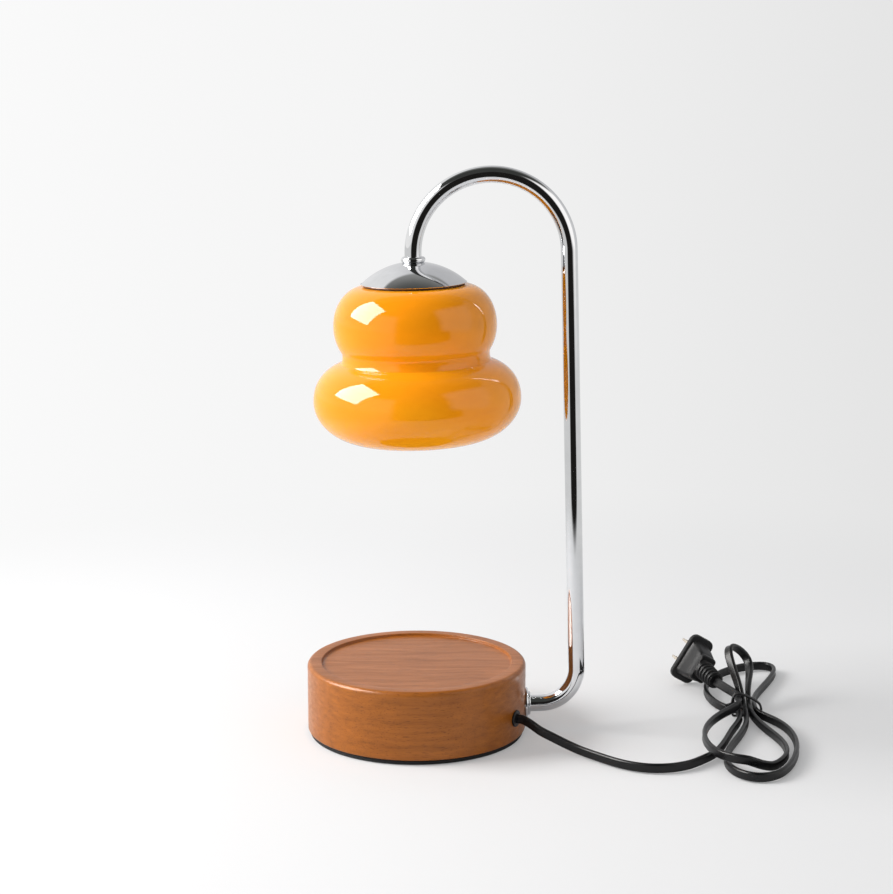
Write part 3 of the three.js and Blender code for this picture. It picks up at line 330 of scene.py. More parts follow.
def stained_wood(tone):
    """Rubberwood, turned, stained red-brown and sealed with satin lacquer: long grain lines
    along X, short dark pores, cloudy stain, and a soft sheen that breaks up on the pores."""

    def build(tree, place):
        drift = add(tree, NOISE, {"Vector": place, "Scale": per_mm(70), "Detail": 2.0})
        bent = add(tree, VECTOR, {0: drift.outputs["Color"], 1: (0.004, 0.010, 0.010)}, **TIMES)
        warped = add(tree, VECTOR, {0: place, 1: bent}, operation="ADD")
        # Growth lines are 60 mm long, 5 mm wide on the face and 2.4 mm high on the side. Pores are
        # 5 mm long and 0.5 mm wide.
        lines, pores = (
            add(tree, NOISE, {
                "Vector": add(tree, SCALED, {"Vector": warped, "Scale": per_mm(*marks)}),
                "Scale": 1.0, "Detail": detail, "Roughness": roughness,
            })
            for marks, detail, roughness in (((60, 5, 2.4), 4.0, 0.62), ((5, 0.5, 0.5), 2.0, 0.5))
        )
        mask = add(tree, RANGE, {"Value": pores, "From Min": 0.57, "From Max": 0.68})
        body = add(tree, RAMP, {0: lines}, [
            (0.28, shaded(tone, 0.75)), (0.45, shaded(tone, 0.95)),
            (0.58, shaded(tone, 1.06)), (0.75, shaded(tone, 1.26)),
        ])
        clouds = add(tree, NOISE, {"Vector": place, "Scale": per_mm(26), "Detail": 3.0})
        stain = add(tree, RAMP, {0: clouds}, [
            (0.3, (0.88, 0.86, 0.84, 1)), (0.5, (0.97, 0.97, 0.97, 1)), (0.72, (1.0, 1.0, 1.0, 1)),
        ])
        clouded = add(tree, MIX, {0: 0.8, 6: body, 7: stain}, blend_type="MULTIPLY", **COLOURS)
        depth = add(tree, MATH, {0: mask, 1: 0.5}, **TIMES)
        relief = add(tree, MATH, {0: mask, 1: -1.0}, **TIMES)
        return {
            "Base Color": add(tree, MIX, {0: depth, 6: clouded, 7: shaded(tone, 0.30)}, **COLOURS),
            "Roughness": add(tree, RANGE, {0: lines, 1: 0.3, 2: 0.7, 3: 0.42, 4: 0.30}),
            "Normal": add(tree, BUMP, {"Height": relief, "Strength": 0.25, "Distance": 0.08 * MM}),
        }

    coat = {"Coat Weight": 0.22, "Coat Roughness": 0.2}
    return finish("stained_rubberwood", {"IOR": 1.5, "Specular IOR Level": 0.22, **coat}, build)


def plated(name, tone, low, high, grain=6.0):
    """A plated or bare metal: roughness wanders between polish marks, low to high."""

    def build(tree, place):
        marks = add(tree, NOISE, {"Vector": place, "Scale": per_mm(grain), "Detail": 4.0})
        return {
            "Roughness": add(tree, RANGE, {0: marks, 1: 0.35, 2: 0.7, 3: low, 4: high}),
            "Base Color": add(tree, RAMP, {0: marks}, [(0.3, shaded(tone, 0.94)), (0.7, tone[:])]),
        }

    return finish(name, {"Metallic": 1.0}, build)


def moulded(name, tone, roughness, grain=0.8, depth=0.02, ior=1.5, metallic=0.0, gloss=0.5):
    """Moulded plastic, rubber or ceramic: a fine skin texture and faint handling marks."""

    def build(tree, place):
        skin = add(tree, NOISE, {"Vector": place, "Scale": per_mm(grain), "Detail": 3.0})
        wear = add(tree, NOISE, {"Vector": place, "Scale": per_mm(16), "Detail": 3.0})
        spread = {1: 0.3, 2: 0.7, 3: roughness - 0.06, 4: roughness + 0.06}
        tones = [(0.3, shaded(tone, 0.85)), (0.7, shaded(tone, 1.2))]
        return {
            "Base Color": add(tree, RAMP, {0: wear}, tones),
            "Roughness": add(tree, RANGE, {0: wear, **spread}),
            "Normal": add(tree, BUMP, {"Height": skin, "Strength": 0.35, "Distance": depth * MM}),
        }

    return finish(name, {"IOR": ior, "Metallic": metallic, "Specular IOR Level": gloss}, build)


def cased_glass(tone):
    """Blown glass, amber over opal and polished: a deep, even colour under a clear skin, which
    is all that mirrors the room. The opal evens out light and shade, and the amber is a little
    denser where the gather was thicker."""

    def build(tree, place):
        flow_at = add(tree, SCALED, {"Vector": place, "Scale": per_mm(110, 110, 38)})
        flow = add(tree, NOISE, {"Vector": flow_at, "Scale": 1.0, "Detail": 2.0})
        waves = add(tree, NOISE, {"Vector": place, "Scale": per_mm(30), "Detail": 1.0})
        thin = (1.0, tone[1] * 1.14, tone[2] * 1.4, 1)
        depths = [(0.3, shaded(tone, 0.88)), (0.5, tone[:]), (0.72, thin)]
        return {
            "Base Color": add(tree, RAMP, {0: flow}, depths),
            "Coat Normal": add(tree, BUMP, {"Height": waves, "Strength": 0.15, "Distance": 0.4 * MM}),
        }

    return finish("cased_amber_glass", {
        "Roughness": 0.07, "IOR": 1.5, "Specular IOR Level": 0.0, "Diffuse Roughness": 1.0,
        "Coat Weight": 1.0, "Coat Roughness": 0.015, "Coat IOR": 1.43,
    }, build)


def clear_glass(name, tint):
    """Pressed clear glass with faint flow in its polish."""

    def build(tree, place):
        flow = add(tree, NOISE, {"Vector": place, "Scale": per_mm(8), "Detail": 2.0})
        return {"Roughness": add(tree, RANGE, {0: flow, 3: 0.02, 4: 0.08})}

    return finish(name, {"Base Color": tint, "IOR": 1.47, "Transmission Weight": 1.0}, build)


FINISH = {}


def make_finishes():
    tones = bpy.context.scene.lamp_finishes
    dark, darker = srgb("#141415"), srgb("#101011")
    FINISH.update({
        "wood": stained_wood(tones.wood),
        "glass": cased_glass(tones.glass),
        # Bright chrome: a mirror that is hardly hazed.
        "chrome": plated("chromed_steel", tones.chrome, 0.03, 0.07),
        # Soft PVC: black with a low sheen, glossier on the cord than on the plug or the tie.
        "cord": moulded("pvc_sheath", tones.cord, 0.32, 1.4, 0.03, gloss=0.3),
        "plug": moulded("moulded_pvc", dark, 0.42, 0.7, 0.04, gloss=0.3),
        "tie": moulded("pvc_coated_wire", dark, 0.45),
        # Nylon: hard and half matt, black in the bush and warm white in the terminal block.
        "bush": moulded("moulded_nylon", darker, 0.5),
        "nylon": moulded("white_nylon", srgb("#E6E3DA"), 0.5),
        # Foam rubber: matt black with open, grainy pores.
        "pad": moulded("foam_rubber", darker, 0.85, 0.9, 0.08),
        # Filled polyester: hard, dark grey, half matt.
        "holder": moulded("glass_filled_polyester", srgb("#1C1C1D"), 0.48),
        # Steatite: dense, warm white, with the faint sheen of a pressed ceramic.
        "steatite": moulded("pressed_steatite", srgb("#EFEBE0"), 0.38, 0.9, 0.02, 1.6),
        # Silicone rubber, dull. Its dark brown is painted shade: the shaded gap line between the cap and
        # the glass.
        "silicone": moulded("silicone_painted_shade", srgb("#5A3A24"), 0.6),
        # Zinc plating: bluish grey and hazed.
        "zinc": plated("zinc_plated_steel", srgb("#B9BDC0"), 0.25, 0.42, 2.0),
        # Cast iron: dark grey, with the grain of the sand it was cast in.
        "iron": moulded("cast_iron", srgb("#55585C"), 0.62, 1.2, 0.15, metallic=1.0),
        # Drawn brass, and the same under thin nickel: half bright, with drawing marks.
        "brass": plated("drawn_brass", srgb("#D2B377"), 0.18, 0.34, 1.5),
        "nickel": plated("nickelled_brass", srgb("#DDD3C4"), 0.18, 0.34, 1.5),
        # Vapour-coated aluminium: bright, with a slight haze that spreads the filament's image.
        "mirror": plated("aluminised_glass", srgb("#DCDEE0"), 0.08, 0.16, 3.0),
        # Pressed glass and drawn quartz: clear, with a trace of blue, and hardly hazed.
        "lens": clear_glass("pressed_lens_glass", srgb("#F4F7F8")),
        "quartz": clear_glass("quartz_capsule", srgb("#F7F8F8")),
    })


def grown(obj, build, inputs, key, matrix=Matrix(), crease=38):
    """What geometry nodes with named inputs build is joined to the object's own mesh, made real and
    given its finish. It becomes the object's mesh, in its place."""
    tree = bpy.data.node_groups.new(build.__name__, "GeometryNodeTree")

    def socket(title, kind, way="INPUT"):
        return tree.interface.new_socket(title, in_out=way, socket_type="NodeSocket" + kind).identifier

    socket("Geometry", "Geometry")
    names = {title: socket(title, "Int" if isinstance(value, int) else "Float")
             for title, value in inputs.items()}
    socket("Geometry", "Geometry", "OUTPUT")
    given = add(tree, "NodeGroupInput").outputs
    made = build(tree, given)
    if obj.type == "MESH":
        made = add(tree, "GeometryNodeJoinGeometry", {0: made})
        tree.links.new(given["Geometry"], made.inputs[0])
    real = add(tree, "GeometryNodeRealizeInstances", {0: made})
    coated = add(tree, "GeometryNodeSetMaterial", {"Geometry": real, "Material": FINISH[key]})
    add(tree, "NodeGroupOutput", {0: coated})
    modifier = obj.modifiers.new(tree.name, "NODES")
    modifier.node_group = tree
    for title, value in inputs.items():
        modifier[names[title]] = value
    obj = applied(obj)
    obj.data.transform(matrix)
    shade(obj.data, crease)
    return obj


# The arm's line

TUBE_INSIDE = 25 * MM
TUBE_TIP = 1.2 * MM
TUBE_PLAY = 0.05 * MM


def arm_corners():
    """The lower bend's centre, the hook's centre and the middle of the cap's rim."""
    arm = bpy.context.scene.lamp_arm
    bend = Vector((arm.level_end, 0, arm.height + arm.bend_radius))
    leg_top = bend + ACROSS * arm.bend_radius + UP * arm.leg_length
    hook = leg_top - ACROSS * arm.hook_radius
    return bend, hook, hook - ACROSS * arm.hook_radius - UP * arm.hook_drop


def head_matrix():
    return Matrix.Translation(arm_corners()[-1]) @ Matrix.Rotation(-ARM_LEAN, 4, "Y")


def arm_line():
    """Points along the tube: level, bend, leg, hook and drop."""
    arm = bpy.context.scene.lamp_arm
    bend, hook, rim = arm_corners()
    points = [Vector((BASE_RADIUS - TUBE_INSIDE, 0, arm.height))]
    for centre, radius, start, turn, steps in (
        (bend, arm.bend_radius, -math.pi / 2, math.pi / 2 + ARM_LEAN, 36),
        (hook, arm.hook_radius, ARM_LEAN, math.pi, 72),
    ):
        angles = [start + turn * i / steps for i in range(steps + 1)]
        points += [centre + Vector((math.cos(a), 0, math.sin(a))) * radius for a in angles]
    return [*points, rim + UP * TUBE_TIP]


# Pieces


class LAMP_OT_base(bpy.types.Operator):
    """Turned wooden base with its dished top, and the foam pad under it"""

    bl_idname = "lamp.base"
    bl_label = "Base"

    def execute(self, context):
        sizes, arm = context.scene.lamp_base, context.scene.lamp_arm
        top, foot, small = BASE_HIGH.z, BASE_LOW.z, 0.5 * MM
        low, high = foot + sizes.foot_round, top - sizes.top_round
        floor, inner = top - sizes.dish_depth, BASE_RADIUS - sizes.wall
        ceiling = floor - sizes.ceiling
        body = turned("turned_base", [
            (0, ceiling), (inner, ceiling), (inner, low), (inner + small, foot),
            *arc(BASE_RADIUS - sizes.foot_round, low, sizes.foot_round, -90, 0),
            *[(BASE_RADIUS, low + (high - low) * i / 8) for i in range(1, 8)],
            *arc(BASE_RADIUS - sizes.top_round, high, sizes.top_round, 0, 90, 12),
            *arc(sizes.dish_radius + 2 * small, top - small, small, 90, 180, 6),
            *reversed(arc(sizes.dish_radius - small / 2, floor + small, small, -90, 0, 6)),
            *[(sizes.dish_radius * share, floor) for share in (0.9, 0.7, 0.5, 0.3, 0.15)],
            (0, floor),
        ], 192)
        lay = Matrix.Translation((0, 0, arm.height)) @ ON_SIDE
        room, start, beyond = 0.3 * MM, inner - 5 * MM, 80 * MM
        seat = rod("flange_seat", arm.flange_radius + room, BASE_RADIUS - 0.6 * MM, beyond, 64, lay)
        bore = rod("tube_hole", arm.tube_radius + room, start, beyond, 48, lay)
        hole, mouth = 4.5 * MM, 5.3 * MM
        lead = turned("lead_hole", [
            (0, start), (hole, start), (hole, BASE_RADIUS - 0.5 * MM),
            (mouth, BASE_RADIUS + 1 * MM), (mouth, beyond), (0, beyond),
        ], 40, Matrix.Rotation(CORD_ANGLE, 4, "Z") @ lay)
        cut(body, seat, bore, lead)
        dress(body, "wood", "stand", "wood", "base_body")

        radius, thick, edge = PAD_HIGH.x, PAD_HIGH.z, 0.5 * MM
        pad = turned("foot_pad", [
            (0, 0), (radius / 2, 0), *arc(radius - edge, edge, edge, -90, 0, 4),
            *arc(radius - edge, thick - edge, edge, 0, 90, 4), (radius / 2, thick), (0, thick),
        ], 160)
        dress(pad, "pad", "stand", "pad", "base_pad")
        return {"FINISHED"}


def swept_tube(tree, given):
    """A round tube along the curve that carries it."""
    ring = add(tree, CURVE_CIRCLE, {"Resolution": given["Sides"], "Radius": given["Radius"]})
    return add(tree, CURVE_MESH, {"Curve": given["Geometry"], "Profile Curve": ring, "Fill Caps": True})


class LAMP_OT_arm(bpy.types.Operator):
    """Chromed tube with its wall flange"""

    bl_idname = "lamp.arm"
    bl_label = "Arm"

    def execute(self, context):
        arm = context.scene.lamp_arm
        line = arm_line()
        curve = bpy.data.curves.new("arm_line", "CURVE")
        curve.dimensions = "3D"
        spline = curve.splines.new("POLY")
        spline.points.add(len(line) - 1)
        for spot, point in zip(spline.points, line):
            spot.co = (*point, 1)
        inputs = {"Radius": arm.tube_radius, "Sides": 56}
        tube = grown(linked("arm_tube_chromed", curve), swept_tube, inputs, "chrome")
        dress(tube, "chrome", "stand", "chrome", "arm_tube")

        foot = BASE_RADIUS - 0.3 * MM
        bore, rim, hub, bead = arm.tube_radius + TUBE_PLAY, arm.flange_radius, 7.1 * MM, 0.8 * MM
        flange = turned("wall_flange", [
            (bore, foot), (rim - 0.2 * MM, foot), *arc(rim - bead, foot + 0.9 * MM, bead, 0, 90, 6),
            (hub + 0.5 * MM, foot + 1.8 * MM), (hub, foot + 2.1 * MM),
            *arc(hub - bead, foot + 2.5 * MM, bead, 0, 90, 6), (bore, foot + 3.3 * MM),
        ], 96, Matrix.Translation((0, 0, arm.height)) @ ON_SIDE)
        dress(flange, "chrome", "stand", "chrome", "arm_flange")
        return {"FINISHED"}


class LAMP_OT_cap(bpy.types.Operator):
    """Domed chromed cap with the small bead on the tube"""

    bl_idname = "lamp.cap"
    bl_label = "Cap"

    def execute(self, context):
        head, arm = context.scene.lamp_head, context.scene.lamp_arm
        radius, height, place = head.cap_radius, head.cap_height, head_matrix()
        sphere = (radius**2 + height**2) / (2 * height)
        sheet, rim, steps = 1 * MM, 0.35 * MM, 28
        bore, edge = arm.tube_radius + TUBE_PLAY, radius - rim * 0.3

        def dome(reach, below=0.0):
            return height - sphere + math.sqrt((sphere - below) ** 2 - reach**2)

        outer = [edge - (edge - bore) * i / steps for i in range(steps + 1)]
        inner = [bore + (radius - sheet - bore) * i / steps for i in range(steps)]
        cap = turned("domed_cap", [
            (radius - sheet, 0), (radius - rim, 0), (radius, rim), *[(r, dome(r)) for r in outer],
            *[(r, max(dome(r, sheet), 0.0001 * MM)) for r in inner],
        ], 160, place)
        dress(cap, "chrome", "stand", "chrome", "shade_cap")

        bead_radius, waist, tall = 7.1 * MM, 5.9 * MM, 3.3 * MM
        foot = dome(bead_radius) + 0.1 * MM
        bead = turned("collar_bead", [
            (bore, foot), (waist, foot),
            *arc(bead_radius - tall / 2, foot + tall / 2, tall / 2, -75, 75, 12),
            (waist, foot + tall), (bore, foot + tall),
        ], 72, place)
        dress(bead, "chrome", "stand", "chrome", "cap_collar")
        return {"FINISHED"}


# The tiers as stretched quarter waves: belly, middle height, half height, swell above and below.
UPPER_TIER = (18.2 * MM, -24.2 * MM, 23 * MM, 0.99, 0.99)
LOWER_TIER = (30.3 * MM, -67.7 * MM, 24.3 * MM, 0.9, 1.02)
NECK_TOP = UPPER_TIER[1] + UPPER_TIER[2]
NECK_RADIUS = 20 * MM
WAIST_ANGLES = (-40, 66)
MOUTH_ANGLE = -76


def tier_line(radius, tier, start, end, steps, inset):
    """Points down a tier between two angles in degrees."""
    belly, middle, half, *swells = tier
    points = []
    for i in range(steps + 1):
        angle = start + (end - start) * i / steps
        swell = swells[1] if angle < 0 else swells[0]
        across, along = math.cos(math.radians(angle)), math.sin(math.radians(angle))
        out, rise = (math.copysign(abs(value) ** swell, value) for value in (across, along))
        points.append((radius - belly + (belly - inset) * out, middle + (half - inset) * rise))
    return points


def shade_line(head, inset):
    """The glass from its neck down to its mouth, with a smooth hollow at the waist."""
    upper = tier_line(head.upper_radius, UPPER_TIER, 90, WAIST_ANGLES[0], 30, inset)
    lower = tier_line(head.lower_radius, LOWER_TIER, WAIST_ANGLES[1], MOUTH_ANGLE, 36, inset)
    above, below = upper[-1], lower[0]
    middle = (2 * (head.waist_radius - inset) - (above[0] + below[0]) / 2, (above[1] + below[1]) / 2)
    waist = [
        [(1 - t) ** 2 * a + 2 * t * (1 - t) * m + t**2 * b for a, m, b in zip(above, middle, below)]
        for t in (i / 9 for i in range(1, 9))
    ]
    return [*upper, *waist, *lower]


class LAMP_OT_shade(bpy.types.Operator):
    """Cased glass shade in two tiers"""

    bl_idname = "lamp.shade"
    bl_label = "Shade"

    def execute(self, context):
        head = context.scene.lamp_head
        wall, half, small = head.glass_wall, head.glass_wall / 2, 0.5 * MM
        outside, inside = shade_line(head, 0)[::-1], shade_line(head, wall)
        top = outside[-1][1]
        neck = [
            (NECK_RADIUS + small, top), (NECK_RADIUS, top - small),
            (NECK_RADIUS, top - wall + small), (NECK_RADIUS + small, top - wall),
        ]
        lip_r, lip_z = ((outer + inner) / 2 for outer, inner in zip(outside[0], inside[-1]))
        angles = [math.pi * i / 8 for i in range(1, 8)]
        lip = [(lip_r - half * 0.75 * math.sin(a), lip_z + half * math.cos(a)) for a in angles]
        glass = turned("two_tier_shade", [*outside, *neck, *inside, *lip], 192, head_matrix())
        dress(glass, "glass", "shade_body", "amber_glass", "shade")
        return {"FINISHED"}


def ribs_round_ring(tree, given):
    """Copies of a small upright rib round a ring."""
    places = {"Vertices": given["Count"], "Radius": given["Ring Radius"]}
    ring = add(tree, "GeometryNodeMeshCircle", places)
    lift = add(tree, "ShaderNodeCombineXYZ", {"Z": given["Height"]})
    raised = add(tree, "GeometryNodeSetPosition", {"Geometry": ring, "Offset": lift})
    size = {"Radius": given["Rib Radius"], "Depth": given["Rib Length"]}
    rib = add(tree, "GeometryNodeMeshCylinder", {"Vertices": 10, **size})
    return add(tree, "GeometryNodeInstanceOnPoints", {"Points": raised, "Instance": rib})


# The hidden pieces keep their solids, in the finish that each would have.
KEPT_SOLIDS = {
    "zinc": "base_cover_plate cover_screw_1 cover_screw_2 cover_screw_3 cover_screw_4 ballast_bolt "
            "arm_washer arm_nut terminal_screw cap_lock_nut bulb_stud_1 bulb_stud_2",
    "iron": "base_ballast",
    "nylon": "terminal_block",
    "cord": "arm_cable cord_lead_in",
    "bush": "cord_stop",
    "holder": "holder_cap holder_sleeve",
    "steatite": "socket_core",
    "brass": "socket_contact_1 socket_contact_2",
    "silicone": "shade_gasket",
    "quartz": "bulb_capsule",
}


class LAMP_OT_fittings(bpy.types.Operator):
    """Ribbed shade ring, reflector bulb and the holder's hidden parts"""

    bl_idname = "lamp.fittings"
    bl_label = "Fittings"

    def execute(self, context):
        head, place = context.scene.lamp_head, head_matrix()
        top = NECK_TOP - head.glass_wall - 0.3 * MM
        foot = top - 8 * MM
        bore, body, lip = 19.35 * MM, 24.2 * MM, 25 * MM
        ring = turned("ribbed_ring", [
            (bore, foot), (body - 0.6 * MM, foot), (body, foot + 0.6 * MM), (body, top - 1.8 * MM),
            (lip, top - 1.6 * MM), (lip, top), (bore, top),
        ], 96)
        ribs = {
            "Count": head.ring_grips, "Ring Radius": 24.0 * MM, "Height": (foot + top - 1.4 * MM) / 2,
            "Rib Radius": 0.8 * MM, "Rib Length": 5.6 * MM,
        }
        grown(ring, ribs_round_ring, ribs, "holder", place)
        dress(ring, "holder", "ring", "black_plastic", "shade_ring")
        self.bulb(place)
        for key, nodes in KEPT_SOLIDS.items():
            for node in nodes.split():
                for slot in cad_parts[node].material_slots:
                    slot.material = FINISH[key]
        return {"FINISHED"}

    def bulb(self, place):
        """The bulb's ceramic base, its mirrored bowl and its lens."""
        top = -22.2 * MM
        foot, base_foot = top - 51 * MM, top - 14 * MM
        radius, bulb_radius, glass = 14.2 * MM, 25 * MM, 1.3 * MM
        base = turned("bulb_ceramic_base", [
            (0, base_foot), (11 * MM, base_foot), (11.4 * MM, base_foot + 0.4 * MM),
            (13.9 * MM, base_foot + 6.6 * MM), (radius, base_foot + 7.2 * MM),
            (radius, top - 0.5 * MM), (13.7 * MM, top), (0, top),
        ], 96, place)
        dress(base, "steatite", "bulb", "ceramic", "bulb_base")

        bowl_top, rim_top, neck = base_foot - 0.3 * MM, foot + 3 * MM, radius * 0.72
        floor = bowl_top - glass

        def bowl(inset):
            wide, deep = bulb_radius - neck, bowl_top - rim_top
            shares = [(i / 24) ** 1.4 for i in range(25)]
            return [(neck + wide * share**0.62 - inset, bowl_top - deep * share) for share in shares]

        inner = bowl(glass)
        reflector = turned("reflector_bowl", [
            (0, floor), (inner[0][0], floor), *[point for point in inner[1:] if point[1] < floor],
            (23.7 * MM, foot), (24.4 * MM, foot), (bulb_radius, foot + 0.5 * MM), *reversed(bowl(0)),
            (0, bowl_top),
        ], 128, place)
        dress(reflector, "mirror", "bulb", "reflector", "bulb_reflector")

        rim, low, high = 23.3 * MM, foot + 0.3 * MM, foot + 2.1 * MM
        lens = turned("dimpled_lens", [
            (0, low), *[(rim * i / 20, low) for i in range(1, 21)],
            *[(rim * i / 6, high) for i in range(6, 0, -1)], (0, high),
        ], 96, place)
        dress(lens, "lens", "bulb", "clear_glass", "bulb_lens")


# The cord's route, repeated from the solids, in millimetres

CORD_ANGLE = math.radians(-26.5)
EXIT_HEIGHT = 16.3
CORD_LIE = 3.1
TIE = Vector((201.5, 22.5, 4.4))
TIE_HALF = 4.0
STRAND_PITCH = 3.4
CROSS_RISE = 6.6
FREE_ROUTE = [
    (67.1, -34.9, 14.6), (72.1, -38.9, 12.1), (78.9, -42.6, 9.6), (86.3, -46.0, 6.8),
    (94.7, -50.9, 4.4), (105.6, -59.9, 3.3), (117.3, -70.4, 3.1), (129.7, -76.6, 3.1),
    (142.6, -77.0, 3.1), (154.5, -72.0, 3.1), (163.6, -63.4, 3.1), (170.6, -55.0, 3.1),
    (176.0, -45.0, 3.1), (181.3, -31.0, 3.1), (187.4, -13.0, 3.1), (192.4, -1.0, 3.7),
]
# Each row of the tie as its place across, in strands, and its layer
ROWS = {"a": (-1.75, 0), "b": (-0.5, 0), "c": (0.5, 0), "d": (1.5, 0), "top": (-1.6, 1)}
# From row, to row, front, reach, fill, spread, bow, skew, shoulder, corner, then climb or tilt
LOBES = [
    ("a", "d", -1, 46.9, 37.7, 47.3, 9.2, -1.07, 4.2, 9.0, None, None),
    ("d", "b", 1, 54.0, 51.6, 33.2, -7.1, -0.87, -7.0, 17.7, None, None),
    ("b", "c", -1, 47.8, -2.0, 19.4, -1.4, -0.07, 0.0, 0.0, None, (36, 50)),
    ("c", "top", 1, 50.0, 48.0, 35.0, -12.5, 0.5, 7.0, 10.0, 0.36, None),
]
LOBE_STEPS = 24
ROLL_SHARE, LIFT_SHARE, CLIMB_SHARE = 0.3, 0.15, 0.12
CORD_STEP, TIE_STEP = 1.6, 0.7
UPRIGHT, AHEAD = Vector((0, 0, 1)), Vector((0, 1, 0))
PLUG_AT = Vector((186.2, 54.0, 12.9))
PLUG_TURN = (107, 5.5, 121)


def ease(share):
    t = min(max(share, 0.0), 1.0)
    return t * t * (3 - 2 * t)


def lobe_point(lobe, share):
    """A point of a lobe, in millimetres, and the direction of the cord's wide side."""
    start, end, front, reach, fill, spread, bow, skew, shoulder, corner, climb_from, tilt = lobe
    s, c = math.sin(math.pi * share), math.cos(math.pi * share)
    from_row, to_row = ROWS[start][0], ROWS[end][0]
    along = reach * s * (1 + skew * c) + fill * s**3
    # The widest place of 2 s s c is 4 / (3 sqrt 3).
    out = -math.copysign(spread / 2, to_row - from_row) * 2 * s * s * c / (4 / (3 * math.sqrt(3)))
    row = STRAND_PITCH * (from_row + (to_row - from_row) * ease(share))
    edge = min(share, 1 - share)
    if tilt:
        rise, roll = (math.radians(angle) for angle in tilt)
        ahead = Vector((0, math.cos(rise), math.sin(rise)))
        face = Vector((0, -math.sin(rise), math.cos(rise)))
        side = Vector((math.cos(roll), 0, 0)) - face * math.sin(roll)
        point = TIE + Vector((row + bow * s * s, TIE_HALF, 0)) + ahead * along + side * out
        rolled = side.cross(ahead)
        rolled = rolled if rolled.z > 0 else -rolled
        return point, UPRIGHT.lerp(rolled, ease(edge / ROLL_SHARE)).normalized()
    climb = CROSS_RISE * ease((share - climb_from) / CLIMB_SHARE) if climb_from else 0
    height = TIE.z + (CORD_LIE - TIE.z) * ease(edge / LIFT_SHARE) + climb
    bend = bow * s * s + shoulder * s * s * math.cos(math.tau * share)
    square = corner * s * s * math.sin(math.tau * share) * c * c
    across = TIE.x + row + out + bend + square
    return Vector((across, TIE.y - front * (TIE_HALF + along), height)), UPRIGHT


def plug_matrix():
    heading, rise, roll = (math.radians(angle) for angle in PLUG_TURN)
    return (
        Matrix.Translation(PLUG_AT * MM) @ Matrix.Rotation(heading, 4, "Z")
        @ Matrix.Rotation(-rise, 4, "Y") @ Matrix.Rotation(roll, 4, "X")
    )


def smoothed(points, wides, step):
    """A smooth line through points, with even steps, and the wide side carried along."""
    dense = []
    last = len(points) - 1
    for i in range(last):
        near = [points[max(i - 1, 0)], points[i], points[i + 1], points[min(i + 2, last)]]
        knots = [0.0]
        for a, b in zip(near, near[1:]):
            knots.append(knots[-1] + max((b - a).length, 1e-6) ** 0.5)
        for k in range(8):
            t = knots[1] + (knots[2] - knots[1]) * k / 8
            layer = near
            for depth in (1, 2, 3):
                layer = [
                    layer[j].lerp(layer[j + 1], (t - knots[j]) / (knots[j + depth] - knots[j]))
                    for j in range(4 - depth)
                ]
            dense.append((layer[0], wides[i].lerp(wides[i + 1], k / 8)))
    dense.append((points[-1], wides[-1]))
    made, carried = [dense[0]], 0.0
    for (p, w), (q, v) in zip(dense, dense[1:]):
        gap = (q - p).length
        while carried + gap >= step:
            share = (step - carried) / gap
            p, w = p.lerp(q, share), w.lerp(v, share)
            made.append((p, w))
            gap, carried = (q - p).length, 0.0
        carried += gap
    return [*made, dense[-1]]


def cord_line():
    """The whole cord as (point, wide) in metres, from inside the bush to the plug."""
    way = Vector((math.cos(CORD_ANGLE), math.sin(CORD_ANGLE), 0))
    points = [way * radius + UPRIGHT * EXIT_HEIGHT for radius in (62.0, 66.5, 69.4)]
    points += [Vector(place) for place in FREE_ROUTE]
    row_a = TIE + Vector((STRAND_PITCH * ROWS["a"][0], -TIE_HALF, 0))
    points += [row_a - AHEAD * 8.8, row_a - AHEAD * 5.6, row_a]
    wides = [UPRIGHT] * len(points)
    for lobe in LOBES:
        for i in range(LOBE_STEPS + 1):
            point, wide = lobe_point(lobe, i / LOBE_STEPS)
            points.append(point)
            wides.append(wide)
    row, layer = ROWS["top"]
    leave = TIE + Vector((STRAND_PITCH * row, TIE_HALF, CROSS_RISE * layer))
    matrix = plug_matrix()
    axis, wide_end = (matrix.to_3x3() @ Vector(unit) for unit in ((1, 0, 0), (0, 1, 0)))
    wide_end = wide_end if wide_end.z > 0 else -wide_end
    end = matrix.translation / MM
    points += [leave, leave + AHEAD * 3.2, leave + AHEAD * 6.1]
    points += [end - axis * 3.2, end - axis * 0.3, end + axis * 3]
    wides += [UPRIGHT.lerp(wide_end, share) for share in (0, 0, 0.2, 0.85, 1, 1)]
    return [(point * MM, wide.normalized()) for point, wide in smoothed(points, wides, CORD_STEP)]


def lead_section(cord):
    """Two round cores side by side with a shallow groove between them."""
    core = cord.thickness / 2
    points = []
    for sign, turn in ((1, 0), (-1, 180)):
        points += arc(sign * (cord.width / 2 - core), 0, core, turn - 78, turn + 78, 8)
        points.append((0, sign * (core - cord.groove)))
    return points


class LAMP_OT_cord(bpy.types.Operator):
    """Flat two-core cord, its bush and its tie"""

    bl_idname = "lamp.cord"
    bl_label = "Cord"

    def execute(self, context):
        cord = context.scene.lamp_cord
        points, wides = zip(*cord_line())
        lead = swept("mains_cord", points, wides, lead_section(cord))
        dress(lead, "cord", "stand", "lead", "cord", "cord_hank", "cord_tail")
        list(make_plug(cord))
        make_tie()

        way = Matrix.Rotation(CORD_ANGLE, 4, "Z") @ Matrix.Translation((0, 0, EXIT_HEIGHT * MM))
        inside, body, rim = 50.3 * MM, 4.2 * MM, 4.9 * MM
        bush = turned("lead_bush", [
            (0, inside), (body, inside), (body, 65.1 * MM), (rim, 65.3 * MM),
            *arc(rim - 0.5 * MM, 65.7 * MM, 0.5 * MM, 0, 90, 5), (0, 66.2 * MM),
        ], 64, way @ ON_SIDE)
        cut(bush, lofted("slot", [(40, 3.3, 6.0, 1.5), (80, 3.3, 6.0, 1.5)], way))
        dress(bush, "bush", "stand", "black_plastic", "cord_bush")
        return {"FINISHED"}


